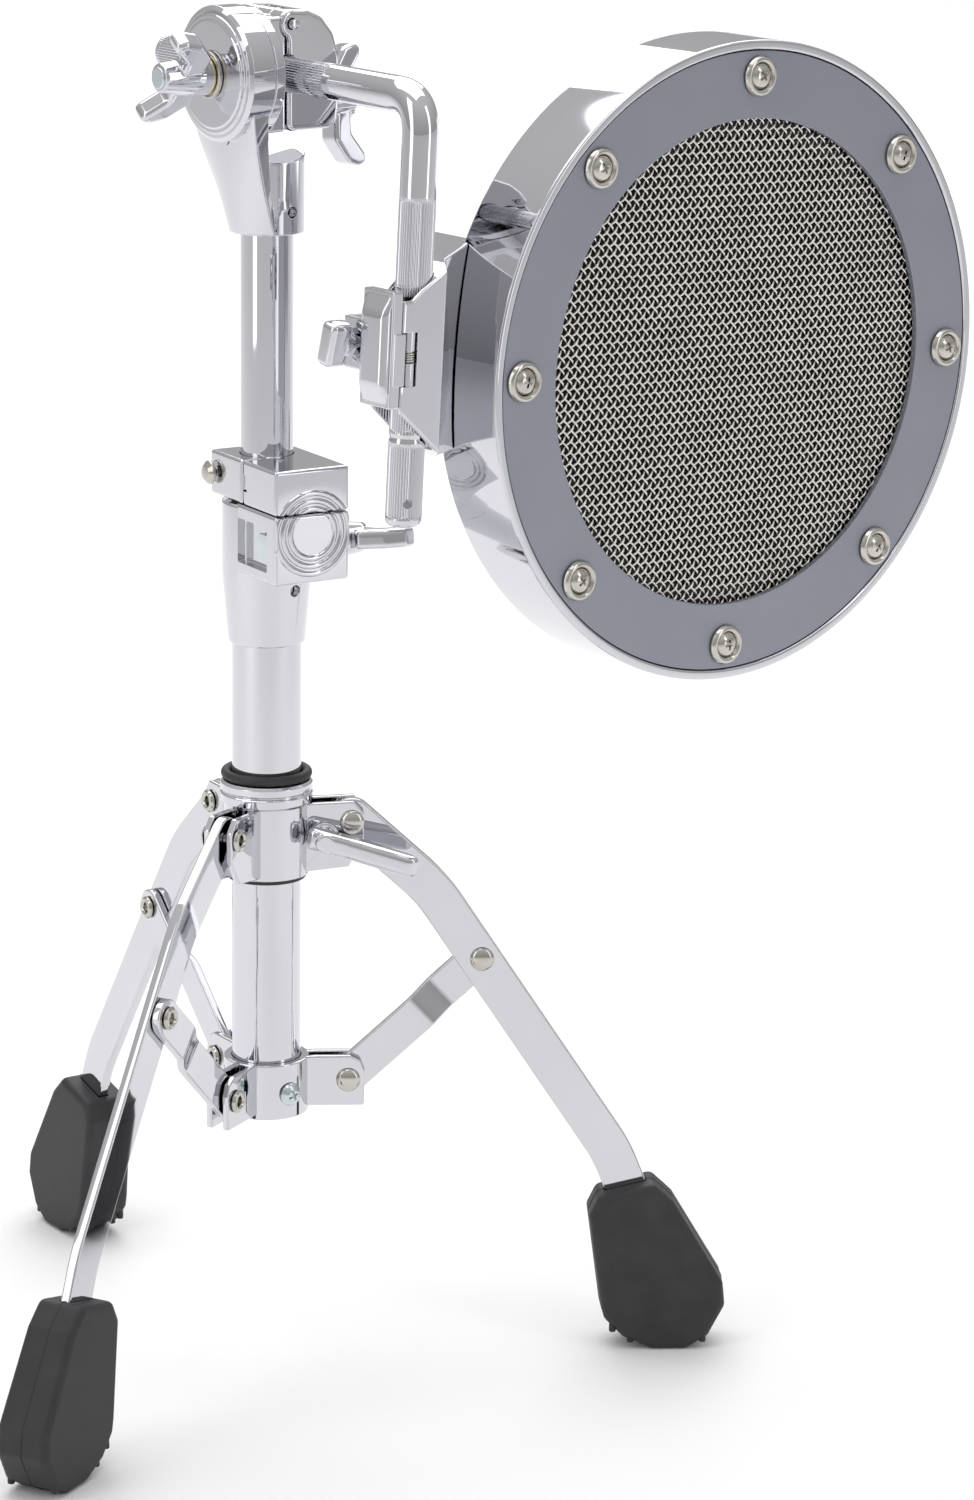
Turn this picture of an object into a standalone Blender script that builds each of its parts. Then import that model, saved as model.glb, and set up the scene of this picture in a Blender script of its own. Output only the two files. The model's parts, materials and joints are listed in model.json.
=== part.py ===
"""Low-frequency microphone on a short tripod stand, built from separate pieces.

Units are metres and +Z is up. The origin is on the floor, under the middle of the whole
object. Every piece is placed in a frame (an empty): the stand's column, each leg's pivot,
the tube joint, the tilter, the L-shaped arm, the clamp on its rod, or the round body.
"""

from math import atan2, cos, hypot, pi, radians, sin

import bmesh
import bpy
from mathutils import Quaternion, Vector

# ---------------------------------------------------------------- driving dimensions
GAP = 0.0003                      # clearance between neighbouring pieces
JAW_PLAY = 0.0012                 # how far a clamp's nut leaves its jaw free to open
OBJECT_NAME = "low_frequency_microphone"

# stand column
COLUMN_X, COLUMN_Y = -0.0840, 0.0
LOWER_TUBE_R, LOWER_TUBE_BORE_R = 0.0127, 0.0111
LOWER_TUBE_BOTTOM, LOWER_TUBE_TOP = 0.0950, 0.3210
UPPER_TUBE_R, UPPER_TUBE_BORE_R = 0.009525, 0.0080
UPPER_TUBE_BOTTOM, UPPER_TUBE_TOP = 0.1700, 0.4460

# tripod, in the plane of a leg: distance from the column's axis, height
LEG_YAWS = (0.0, 120.0, 240.0)
HUB_PIVOT = (0.0312, 0.2050)
LOWER_PIVOT = (0.0303, 0.1055)
MIDDLE_PIVOT = (0.0796, 0.1513)
LEG_BENDS = ((0.0610, 0.1782), (0.1289, 0.0760))
LEG_END = (0.1394, 0.0500)
LEG_WIDTH, LEG_THICKNESS, LEG_BEND_R = 0.0156, 0.0040, 0.060
BRACE_WIDTH, BRACE_THICKNESS = 0.0136, 0.0030
BRACE_JOGGLE = (0.0370, 0.0470)   # where the brace steps sideways, along its length
BRACE_SLOT_DRIFT = (-0.0042, -0.0019)
RIVET_R, RIVET_HEAD_R, RIVET_HEAD_H = 0.0019, 0.0045, 0.0021

# hubs
LOWER_HUB_R, LOWER_HUB_Z = 0.0158, (0.0935, 0.1145)
LOWER_EAR_GAP, UPPER_EAR_GAP, EAR_THICKNESS = 0.0044, 0.0070, 0.0024
UPPER_HUB_BORE_R, UPPER_HUB_Z = 0.0149, (0.1850, 0.2205)
WING_BOLT_AT = (0.0213, 0.2000)

# feet, in the plane of a leg
FOOT_OUTLINE = (
    (0.1240, 0.0600), (0.1445, 0.0650), (0.1525, 0.0575), (0.1713, 0.0260),
    (0.1722, 0.0170), (0.1660, 0.0050), (0.1580, 0.0), (0.1450, 0.0),
    (0.1338, 0.0048), (0.1268, 0.0120), (0.1255, 0.0170), (0.1205, 0.0525),
)
FOOT_THICKNESS = 0.0216

# tube joint and memory lock, in the boss's frame (x out along the boss)
BOSS_YAW = -62.0
JOINT_Z = (0.2720, 0.3000, 0.3250)
BOSS_REACH, BOSS_HALF_WIDTH = 0.0340, 0.0150
JOINT_BOLT_X, JOINT_BOLT_Z = 0.0225, 0.3120
LOCK_Z = (0.3253, 0.3413)
LOCK_SEAM_X, LOCK_BACK_X = 0.0096, -0.0150
LOCK_PIN = (0.0125, -0.0110)
LOCK_SCREW_X, LOCK_SCREW_Z = -0.0124, 0.3333

# tilter, in its own frame (x along the arm, y along the tilting axis)
TILTER_Z, TILTER_YAW = 0.4783, -56.0
TILTER_DISC_R, TILTER_SEAM_Y = 0.0238, -0.0121
COLLAR_R, COLLAR_BOTTOM = 0.0134, -0.0570
CLAMP_HALF_X, CLAMP_PIN, CLAMP_BOLT_Z = 0.0125, (0.0020, 0.0172), -0.0145
CLAMP_DEPTH = 0.0225

# L-shaped arm
ARM_R, ARM_ROLL = 0.00635, -2.6
ARM_TAIL, ARM_REACH, ARM_DROP, ARM_BEND_R = -0.0640, 0.0925, 0.1470, 0.0145

# round body, in the rod's frame (x is the way the body faces, y points from rod to body)
MOUNT_DROP, BODY_DROP, BODY_SWIVEL = -0.0842, -0.0135, 3.0
MOUNT_BOLT_X = -0.0142
MOUNT_WINDOW_Y, MOUNT_WINDOW_Z = (-0.0150, -0.0038), (-0.0125, 0.0060)
MOUNT_PIN, MOUNT_PIN_R = (0.0050, -0.0076), 0.0021
BODY_R, BODY_DEPTH = 0.1158, 0.0319
BODY_FRONT_X, ROD_TO_BODY = 0.0112, 0.0295
COVER_RIM_R, COVER_BEND = 0.1125, (0.1080, -0.0345)
PLATE_R, GRILLE_OPENING_R, FACE_SCREW_CIRCLE_R = 0.1120, 0.0880, 0.1030
FACE_SCREW_COUNT = 8
REAR_FLAT_R, REAR_X = 0.0740, -0.0660
CONNECTOR_DROP = 0.0560

# name: base colour, roughness, metallic
FINISHES = {
    "chrome": ((0.80, 0.80, 0.82), 0.06, 1.0),
    "zinc": ((0.62, 0.60, 0.56), 0.25, 1.0),
    "grey_metal": ((0.30, 0.31, 0.34), 0.45, 0.6),
    "steel_wire": ((0.50, 0.49, 0.46), 0.30, 1.0),
    "aluminium": ((0.72, 0.72, 0.74), 0.30, 1.0),
    "ferrite": ((0.09, 0.09, 0.10), 0.55, 0.4),
    "rubber": ((0.030, 0.030, 0.032), 0.65, 0.0),
    "black_plastic": ((0.02, 0.02, 0.02), 0.45, 0.0),
    "paper": ((0.05, 0.05, 0.05), 0.90, 0.0),
}


# ---------------------------------------------------------------- scene set-up
def clear_scene():
    for obj in list(bpy.data.objects):
        bpy.data.objects.remove(obj, do_unlink=True)


def new_collection(name):
    collection = bpy.data.collections.new(name)
    bpy.context.scene.collection.children.link(collection)
    return collection


clear_scene()
PARTS = new_collection(OBJECT_NAME)
CUTTERS = new_collection("cutters")


def make_material(name, colour, roughness, metallic):
    material = bpy.data.materials.new(name)
    material.use_nodes = True
    shader = material.node_tree.nodes["Principled BSDF"]
    shader.inputs["Base Color"].default_value = (*colour, 1.0)
    shader.inputs["Roughness"].default_value = roughness
    shader.inputs["Metallic"].default_value = metallic
    return material


MATERIALS = {name: make_material(name, *finish) for name, finish in FINISHES.items()}


# ---------------------------------------------------------------- modelling helpers
def frame(name, location=(0, 0, 0), yaw=0.0, roll=0.0, parent=None):
    """An empty that pieces are placed in, turned by roll about X and then yaw about Z."""
    empty = bpy.data.objects.new(name, None)
    empty.empty_display_size = 0.02
    empty.location = location
    empty.rotation_euler = (radians(roll), 0.0, radians(yaw))
    empty.parent = parent
    PARTS.objects.link(empty)
    return empty


def mesh_object(mesh):
    obj = bpy.data.objects.new("shape", mesh)
    CUTTERS.objects.link(obj)
    obj.hide_render = True
    obj.display_type = "WIRE"
    return obj


def aim(obj, axis, turn=0.0):
    """Turn an object so that its local Z points along axis, after a turn about that Z."""
    to_axis = Vector(axis).to_track_quat("Z", "Y")
    obj.rotation_mode = "QUATERNION"
    obj.rotation_quaternion = to_axis @ Quaternion((0, 0, 1), radians(turn))
    return obj


def turned(profile, steps=24, ring=False):
    """A turned shape about Z from (radius, height) points, down the outer side."""
    mesh = bpy.data.meshes.new("turned")
    edges = [(i, i + 1) for i in range(len(profile) - 1)]
    if ring:
        edges.append((len(profile) - 1, 0))
    mesh.from_pydata([(r, 0.0, z) for r, z in profile], edges, [])
    obj = mesh_object(mesh)
    screw = obj.modifiers.new("Turn", "SCREW")
    screw.axis = "Z"
    screw.angle = 2 * pi
    screw.steps = steps
    screw.render_steps = steps
    screw.use_merge_vertices = True
    screw.merge_threshold = 0.00001
    return obj


def sleeve(outer_r, inner_r, z_low, z_high, steps=24):
    profile = ((outer_r, z_high), (outer_r, z_low), (inner_r, z_low), (inner_r, z_high))
    return turned(profile, steps, ring=True)


def rod(radius, z_low, z_high, steps=16):
    return turned(((0.0, z_high), (radius, z_high), (radius, z_low), (0.0, z_low)), steps)


def box(low, high, bevel=0.0):
    mesh = bpy.data.meshes.new("box")
    bm = bmesh.new()
    bmesh.ops.create_cube(bm, size=1.0)
    for vert in bm.verts:
        vert.co = [high[i] if vert.co[i] > 0 else low[i] for i in range(3)]
    bm.to_mesh(mesh)
    bm.free()
    obj = mesh_object(mesh)
    if bevel:
        add_bevel(obj, bevel, 1)
    return obj


def loft_block(low_corners, high_corners):
    """A six-sided solid between two four-cornered faces, corners in the same order."""
    mesh = bpy.data.meshes.new("loft_block")
    sides = [(i, (i + 1) % 4, 4 + (i + 1) % 4, 4 + i) for i in range(4)]
    faces = [(3, 2, 1, 0), (4, 5, 6, 7), *sides]
    mesh.from_pydata([*low_corners, *high_corners], [], faces)
    bm = bmesh.new()
    bm.from_mesh(mesh)
    bmesh.ops.recalc_face_normals(bm, faces=bm.faces)
    bm.to_mesh(mesh)
    bm.free()
    return mesh_object(mesh)


def rectangle(x, y, z):
    """Four corners in the plane where one of x, y, z is a single number."""
    if isinstance(z, float):
        return [(x[i], y[j], z) for i, j in ((0, 0), (1, 0), (1, 1), (0, 1))]
    return [(x[i], y, z[j]) for i, j in ((0, 0), (1, 0), (1, 1), (0, 1))]


PLANE_TURNS = {
    "XY": (1.0, 0.0, 0.0, 0.0),
    "XZ": (cos(pi / 4), sin(pi / 4), 0.0, 0.0),
    "YZ": (0.5, 0.5, 0.5, 0.5),
}


def plate(outlines, thickness, plane="XZ"):
    """One or more flat outlines (the inner ones are holes), drawn in a plane, extruded."""
    curve = bpy.data.curves.new("outline", "CURVE")
    curve.dimensions = "2D"
    curve.fill_mode = "BOTH"
    curve.extrude = thickness / 2
    if not isinstance(outlines[0][0], (tuple, list, Vector)):
        outlines = [outlines]
    for outline in outlines:
        spline = curve.splines.new("POLY")
        spline.points.add(len(outline) - 1)
        for point, (x, y) in zip(spline.points, outline):
            point.co = (x, y, 0.0, 1.0)
        spline.use_cyclic_u = True
    return curve_to_mesh(curve, PLANE_TURNS[plane])


def circle(radius, steps, centre=(0.0, 0.0)):
    angles = [2 * pi * (i + 0.5) / steps for i in range(steps)]
    return [(centre[0] + radius * cos(a), centre[1] + radius * sin(a)) for a in angles]


def curve_to_mesh(curve, turn=(1.0, 0.0, 0.0, 0.0)):
    source = bpy.data.objects.new("curve", curve)
    CUTTERS.objects.link(source)
    source.rotation_mode = "QUATERNION"
    source.rotation_quaternion = turn
    bpy.context.view_layer.update()
    graph = bpy.context.evaluated_depsgraph_get()
    mesh = bpy.data.meshes.new_from_object(source.evaluated_get(graph))
    mesh.transform(source.matrix_world)
    bm = bmesh.new()
    bm.from_mesh(mesh)
    bmesh.ops.remove_doubles(bm, verts=bm.verts, dist=0.000001)
    bm.to_mesh(mesh)
    bm.free()
    mesh.materials.clear()
    bpy.data.objects.remove(source, do_unlink=True)
    return mesh_object(mesh)


def wire(points, radius, sides=2):
    """A round bar along a path of points."""
    curve = bpy.data.curves.new("path", "CURVE")
    curve.dimensions = "3D"
    curve.bevel_depth = radius
    curve.bevel_resolution = sides
    curve.use_fill_caps = True
    spline = curve.splines.new("POLY")
    spline.points.add(len(points) - 1)
    for point, place in zip(spline.points, points):
        point.co = (*place, 1.0)
    return curve_to_mesh(curve)


def add_bevel(obj, width, segments=2, angle=50.0):
    bevel = obj.modifiers.new("Bevel", "BEVEL")
    bevel.width = width
    bevel.segments = segments
    bevel.limit_method = "ANGLE"
    bevel.angle_limit = radians(angle)
    return obj


def combine(target, tool, operation):
    tool.parent = target
    boolean = target.modifiers.new(operation.title(), "BOOLEAN")
    boolean.operation = operation
    boolean.object = tool
    return target


def join(target, *tools):
    for tool in tools:
        combine(target, tool, "UNION")
    return target


def cut(target, *tools):
    for tool in tools:
        combine(target, tool, "DIFFERENCE")
    return target


def moved(obj, location):
    obj.location = location
    return obj


def piece(obj, name, parent, finish, location=None):
    """Name a finished shape, give it its material and place it in its frame."""
    obj.name = name
    obj.data.name = name
    obj.parent = parent
    if location is not None:
        obj.location = location
    CUTTERS.objects.unlink(obj)
    PARTS.objects.link(obj)
    obj.hide_render = False
    obj.display_type = "TEXTURED"
    obj.data.materials.append(MATERIALS[finish])
    obj.data.shade_smooth()
    obj.data.set_sharp_from_angle(angle=radians(35))
    return obj


def rounded_path(points, bend_r, steps=4):
    """The points with each inner corner replaced by an arc."""
    path = [Vector(points[0])]
    for before, corner, after in zip(points, points[1:], points[2:]):
        corner = Vector(corner)
        into = (corner - Vector(before)).normalized()
        out = (Vector(after) - corner).normalized()
        angle = into.angle(out)
        reach = bend_r * (1 - cos(angle)) / sin(angle)
        start, end = corner - into * reach, corner + out * reach
        for i in range(steps + 1):
            t = i / steps
            path.append((1 - t) ** 2 * start + 2 * t * (1 - t) * corner + t * t * end)
    path.append(Vector(points[-1]))
    return path


def strap_outline(path, width, round_end=False, cap_steps=8):
    """The outline of a strap along a path in a plane, with a round first end."""
    half = width / 2
    left, right = [], []
    for i, point in enumerate(path):
        ahead = (path[min(i + 1, len(path) - 1)] - path[max(i - 1, 0)]).normalized()
        side = Vector((-ahead.y, ahead.x)) * half
        left.append(point + side)
        right.append(point - side)

    def cap(centre, first):
        start = atan2(first.y - centre.y, first.x - centre.x)
        angles = [start + pi * i / cap_steps for i in range(1, cap_steps)]
        return [centre + Vector((cos(a), sin(a))) * half for a in angles]

    outline = left[::-1] + cap(path[0], left[0]) + right
    if round_end:
        outline += cap(path[-1], right[-1])
    return [tuple(point) for point in outline]


def relative(point, origin):
    return (point[0] - origin[0], point[1] - origin[1])


# ---------------------------------------------------------------- fasteners
def domed_rivet(low_y, high_y):
    """A rivet along Z, with a domed head outside each end."""
    def dome(y, sign):
        return [
            (0.0, y + sign * RIVET_HEAD_H),
            (0.55 * RIVET_HEAD_R, y + sign * 0.82 * RIVET_HEAD_H),
            (0.88 * RIVET_HEAD_R, y + sign * 0.45 * RIVET_HEAD_H),
            (RIVET_HEAD_R, y),
            (RIVET_R, y),
        ]
    return turned(dome(high_y, 1) + dome(low_y, -1)[::-1], 12)


def wing_nut(hub_r, hub_height, span, rise, bore_r=0.0):
    """A wing nut along Z that sits on z = 0, with two wings that lean outward."""
    profile = (
        (0.0, hub_height), (0.72 * hub_r, hub_height), (0.92 * hub_r, 0.8 * hub_height),
        (hub_r, 0.0), (0.0, 0.0),
    )
    nut = turned(profile, 16)
    inner, tip = 0.55 * hub_r, span / 2
    side = [
        (inner, 0.15), (0.55 * tip, 0.12), (0.92 * tip, 0.48), (tip, 0.80),
        (0.93 * tip, 1.0), (0.78 * tip, 0.97), (0.45 * tip, 0.62), (inner, 0.62),
    ]
    side = [(x, rise * z) for x, z in side]
    join(nut, plate([*side, *[(-x, z) for x, z in side[::-1]]], 0.62 * hub_r))
    if bore_r:
        cut(nut, rod(bore_r, -0.002, hub_height + rise, 12))
    return nut


# ---------------------------------------------------------------- column and hubs
def add_column(stand):
    piece(
        sleeve(LOWER_TUBE_R, LOWER_TUBE_BORE_R, LOWER_TUBE_BOTTOM, LOWER_TUBE_TOP),
        "lower_tube", stand, "chrome",
    )
    piece(
        sleeve(UPPER_TUBE_R, UPPER_TUBE_BORE_R, UPPER_TUBE_BOTTOM, UPPER_TUBE_TOP),
        "upper_tube", stand, "chrome",
    )
    top = LOWER_TUBE_TOP
    bore, skirt = UPPER_TUBE_R + GAP, LOWER_TUBE_BORE_R - GAP
    profile = (
        (LOWER_TUBE_R, top + 0.0036), (LOWER_TUBE_R, top + GAP), (skirt, top + GAP),
        (skirt, top - 0.036), (bore, top - 0.036), (bore, top + 0.0036),
    )
    piece(turned(profile, ring=True), "joint_bushing", stand, "black_plastic")


def ear_pair(outline, gap, yaw):
    """The two upright cheeks that hold one leg or brace."""
    offset = gap / 2 + EAR_THICKNESS / 2
    cheeks = []
    for side in (-1, 1):
        cheek = plate(outline, EAR_THICKNESS)
        cheek.rotation_euler = (0.0, 0.0, radians(yaw))
        turn = radians(yaw)
        cheek.location = (-sin(turn) * side * offset, cos(turn) * side * offset, 0.0)
        cheeks.append(cheek)
    return cheeks


def pivot_hole(place, radius, half_length, yaw):
    """A cutter across a leg's plane, at a (radius, height) place."""
    hole = rod(radius, -half_length, half_length, 12)
    turn = radians(yaw)
    aim(hole, (-sin(turn), cos(turn), 0.0))
    return moved(hole, (place[0] * cos(turn), place[0] * sin(turn), place[1]))


def add_lower_hub(stand):
    low, high = LOWER_HUB_Z
    hub = rod(LOWER_HUB_R, low, high)
    outline = [
        (0.0120, 0.0955), (0.0362, 0.0955), (0.0365, 0.1085), (0.0348, 0.1128),
        (0.0310, 0.1148), (0.0180, 0.1148), (0.0120, 0.1142),
    ]
    for yaw in LEG_YAWS:
        join(hub, *ear_pair(outline, LOWER_EAR_GAP, yaw))
        cut(hub, pivot_hole(LOWER_PIVOT, RIVET_R + GAP, 0.010, yaw))
    cut(hub, rod(LOWER_TUBE_R + GAP, low - 0.01, high + 0.01, 24))
    screw_turn = radians(-57.0)
    axis = (cos(screw_turn), sin(screw_turn), 0.0)
    place = Vector((0.0, 0.0, 0.1030))
    hole = aim(rod(0.0023, 0.010, 0.020, 12), axis)
    cut(hub, moved(hole, place))
    piece(hub, "lower_hub", stand, "chrome")

    head = LOWER_HUB_R + GAP
    profile = (
        (0.0, head + 0.0026), (0.0030, head + 0.0021), (0.0043, head + 0.0008),
        (0.0043, head), (0.0020, head), (0.0020, 0.0133), (0.0, 0.0133),
    )
    screw = aim(turned(profile, 12), axis)
    cross = [(0.0016, 0.0034), (0.0034, 0.0016)]
    for x, y in cross:
        cut(screw, box((-x / 2, -y / 2, head + 0.0012), (x / 2, y / 2, head + 0.0040)))
    piece(screw, "lower_hub_screw", stand, "zinc", place)


def add_upper_hub(slider):
    low, high = UPPER_HUB_Z
    groove = high - 0.0042
    profile = (
        (UPPER_HUB_BORE_R, high), (0.0162, high), (0.0170, high - 0.0012),
        (0.0170, groove + 0.0006), (0.0162, groove), (0.0170, groove - 0.0006),
        (0.0170, high - 0.0078), (0.0158, high - 0.0090), (0.0158, low),
        (UPPER_HUB_BORE_R, low),
    )
    hub = turned(profile, ring=True)
    outline = [
        (0.0120, 0.1858), (0.0300, 0.1880), (0.0356, 0.1975), (0.0356, 0.2082),
        (0.0318, 0.2128), (0.0120, 0.2118),
    ]
    for yaw in LEG_YAWS:
        join(hub, *ear_pair(outline, UPPER_EAR_GAP, yaw))
        cut(hub, pivot_hole(HUB_PIVOT, RIVET_R + GAP, 0.012, yaw))
    cut(hub, rod(UPPER_HUB_BORE_R, low - 0.01, high + 0.01, 24))
    cut(hub, pivot_hole(WING_BOLT_AT, 0.0029, 0.012, LEG_YAWS[0]))
    piece(hub, "upper_hub", slider, "chrome")

    bushing = sleeve(UPPER_HUB_BORE_R - GAP, LOWER_TUBE_R + GAP, low - 0.0016, high - 0.001)
    piece(bushing, "hub_bushing", slider, "black_plastic")

    ring_r, section_r, steps = 0.0149, 0.0018, 8
    centre_z = high + GAP + section_r
    angles = [2 * pi * i / steps for i in range(steps)]
    section = [(ring_r + section_r * cos(a), centre_z - section_r * sin(a)) for a in angles]
    piece(turned(section, ring=True), "hub_o_ring", slider, "rubber")


def add_hub_wing_bolt(slider):
    """The bolt that squeezes one pair of ears, with its long wing."""
    face = UPPER_EAR_GAP / 2 + EAR_THICKNESS + GAP
    profile = (
        (0.0, face + 0.0120), (0.0034, face + 0.0120), (0.0038, face + 0.0018),
        (0.0052, face + 0.0018), (0.0052, face), (0.0026, face), (0.0026, -0.0085),
        (0.0, -0.0085),
    )
    bolt = turned(profile, 16)
    wing = plate([
        (-0.0070, face + 0.0040), (0.0080, face + 0.0035), (0.0330, face + 0.0110),
        (0.0350, face + 0.0150), (0.0320, face + 0.0175), (0.0080, face + 0.0125),
        (-0.0070, face + 0.0105),
    ], 0.0095)
    join(bolt, wing)
    aim(bolt, (0.0, -1.0, 0.0))
    bolt.rotation_quaternion = bolt.rotation_quaternion @ Quaternion((0, 0, 1), radians(-14))
    piece(bolt, "hub_wing_bolt", slider, "chrome", (WING_BOLT_AT[0], 0.0, WING_BOLT_AT[1]))


# ---------------------------------------------------------------- legs, braces and feet
def add_leg(pivot, number):
    path = rounded_path(
        [relative(point, HUB_PIVOT) for point in (HUB_PIVOT, *LEG_BENDS, LEG_END)],
        LEG_BEND_R,
    )
    leg = plate(strap_outline(path, LEG_WIDTH), LEG_THICKNESS)
    middle = relative(MIDDLE_PIVOT, HUB_PIVOT)
    for place in ((0.0, 0.0), middle):
        cut(leg, pivot_hole(place, RIVET_R + GAP, 0.004, 0.0))
    piece(leg, f"leg_{number}", pivot, "chrome")

    foot = plate([relative(point, HUB_PIVOT) for point in FOOT_OUTLINE], FOOT_THICKNESS)
    add_bevel(foot, 0.0030, 2, 55.0)
    last_bend, end = LEG_BENDS[-1], LEG_END
    lean = atan2(end[0] - last_bend[0], last_bend[1] - end[1])
    half = (LEG_WIDTH / 2 + GAP, LEG_THICKNESS / 2 + GAP)
    pocket = box((-half[0], -half[1], -GAP), (half[0], half[1], 0.040))
    pocket.rotation_euler = (0.0, -lean, 0.0)
    place = relative(end, HUB_PIVOT)
    cut(foot, moved(pocket, (place[0], 0.0, place[1])))
    piece(foot, f"foot_{number}", pivot, "rubber")

    brace_side = LEG_THICKNESS / 2 + GAP + BRACE_THICKNESS
    rivet = aim(domed_rivet(-LEG_THICKNESS / 2 - GAP, brace_side + GAP), (0, 1, 0))
    piece(rivet, f"middle_rivet_{number}", pivot, "zinc", (middle[0], 0.0, middle[1]))


def add_brace(pivot, number):
    """A strap that steps sideways, so that its far end lies beside the leg."""
    run = relative(MIDDLE_PIVOT, LOWER_PIVOT)
    length, rise = hypot(*run), atan2(run[1], run[0])
    brace = plate(strap_outline([Vector((0, 0)), Vector((length, 0))], BRACE_WIDTH, True), 0.020)
    step = LEG_THICKNESS / 2 + GAP + BRACE_THICKNESS / 2
    half, (first, last), end = BRACE_THICKNESS / 2, BRACE_JOGGLE, length + 0.010
    side_view = plate([
        (-0.010, -half), (first, -half), (last, step - half), (end, step - half),
        (end, step + half), (last, step + half), (first, half), (-0.010, half),
    ], 0.030, "XY")
    combine(brace, side_view, "INTERSECT")
    cut(brace, pivot_hole((0.0, 0.0), RIVET_R + GAP, 0.012, 0.0))
    drift = [Vector((length, 0.0)), Vector((length, 0.0)) + Vector(BRACE_SLOT_DRIFT)]
    slot = plate(strap_outline(drift, 2 * (RIVET_R + 0.0008), True), 0.020)
    cut(brace, slot)
    brace.rotation_euler = (0.0, -rise, 0.0)
    piece(brace, f"brace_{number}", pivot, "chrome")


def add_tripod(stand, slider):
    for index, yaw in enumerate(LEG_YAWS):
        number = index + 1
        turn = radians(yaw)

        def place(point):
            return (point[0] * cos(turn), point[0] * sin(turn), point[1])

        across = (-sin(turn), cos(turn), 0.0)
        leg_pivot = frame(f"leg_pivot_{number}", place(HUB_PIVOT), yaw, parent=stand)
        add_leg(leg_pivot, number)
        brace_pivot = frame(f"brace_pivot_{number}", place(LOWER_PIVOT), yaw, parent=stand)
        add_brace(brace_pivot, number)
        for name, point, gap, parent in (
            ("hub_rivet", HUB_PIVOT, UPPER_EAR_GAP, slider),
            ("lower_rivet", LOWER_PIVOT, LOWER_EAR_GAP, stand),
        ):
            reach = gap / 2 + EAR_THICKNESS + GAP
            rivet = aim(domed_rivet(-reach, reach), across)
            piece(rivet, f"{name}_{number}", parent, "zinc", place(point))


# ---------------------------------------------------------------- tube joint and memory lock
def add_tube_joint(boss):
    low, shoulder, high = JOINT_Z
    sleeve_top = high - 0.0005
    joint = turned((
        (0.0, sleeve_top), (0.0163, sleeve_top), (0.0163, shoulder), (0.0140, low), (0.0, low),
    ))
    block = box(
        (0.004, -BOSS_HALF_WIDTH, shoulder), (BOSS_REACH, BOSS_HALF_WIDTH, high), 0.0012,
    )
    join(joint, block)
    cut(joint, rod(LOWER_TUBE_R + GAP, low - 0.01, high + 0.01, 24))
    recess = box(
        (0.0060, -0.0200, shoulder + 0.0040),
        (0.0275, -BOSS_HALF_WIDTH + 0.0032, high - 0.0050),
    )
    across = aim(rod(0.0033, -0.020, 0.020, 12), (0, 1, 0))
    cut(joint, recess, moved(across, (JOINT_BOLT_X, 0.0, JOINT_BOLT_Z)))
    piece(joint, "tube_joint", boss, "chrome")

    floor = BOSS_HALF_WIDTH - 0.0032 + GAP
    profile = (
        (0.0, floor + 0.0028), (0.0046, floor + 0.0028), (0.0046, floor), (0.0030, floor),
        (0.0030, -0.0270), (0.0, -0.0270),
    )
    bolt = aim(turned(profile, 6), (0, -1, 0))
    piece(bolt, "joint_bolt", boss, "zinc", (JOINT_BOLT_X, 0.0, JOINT_BOLT_Z))

    nut = aim(wing_nut(0.0068, 0.0110, 0.040, 0.0230, 0.0034), (0, 1, 0), -8.0)
    place = (JOINT_BOLT_X, BOSS_HALF_WIDTH + GAP, JOINT_BOLT_Z)
    piece(nut, "joint_wing_nut", boss, "chrome", place)


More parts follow.
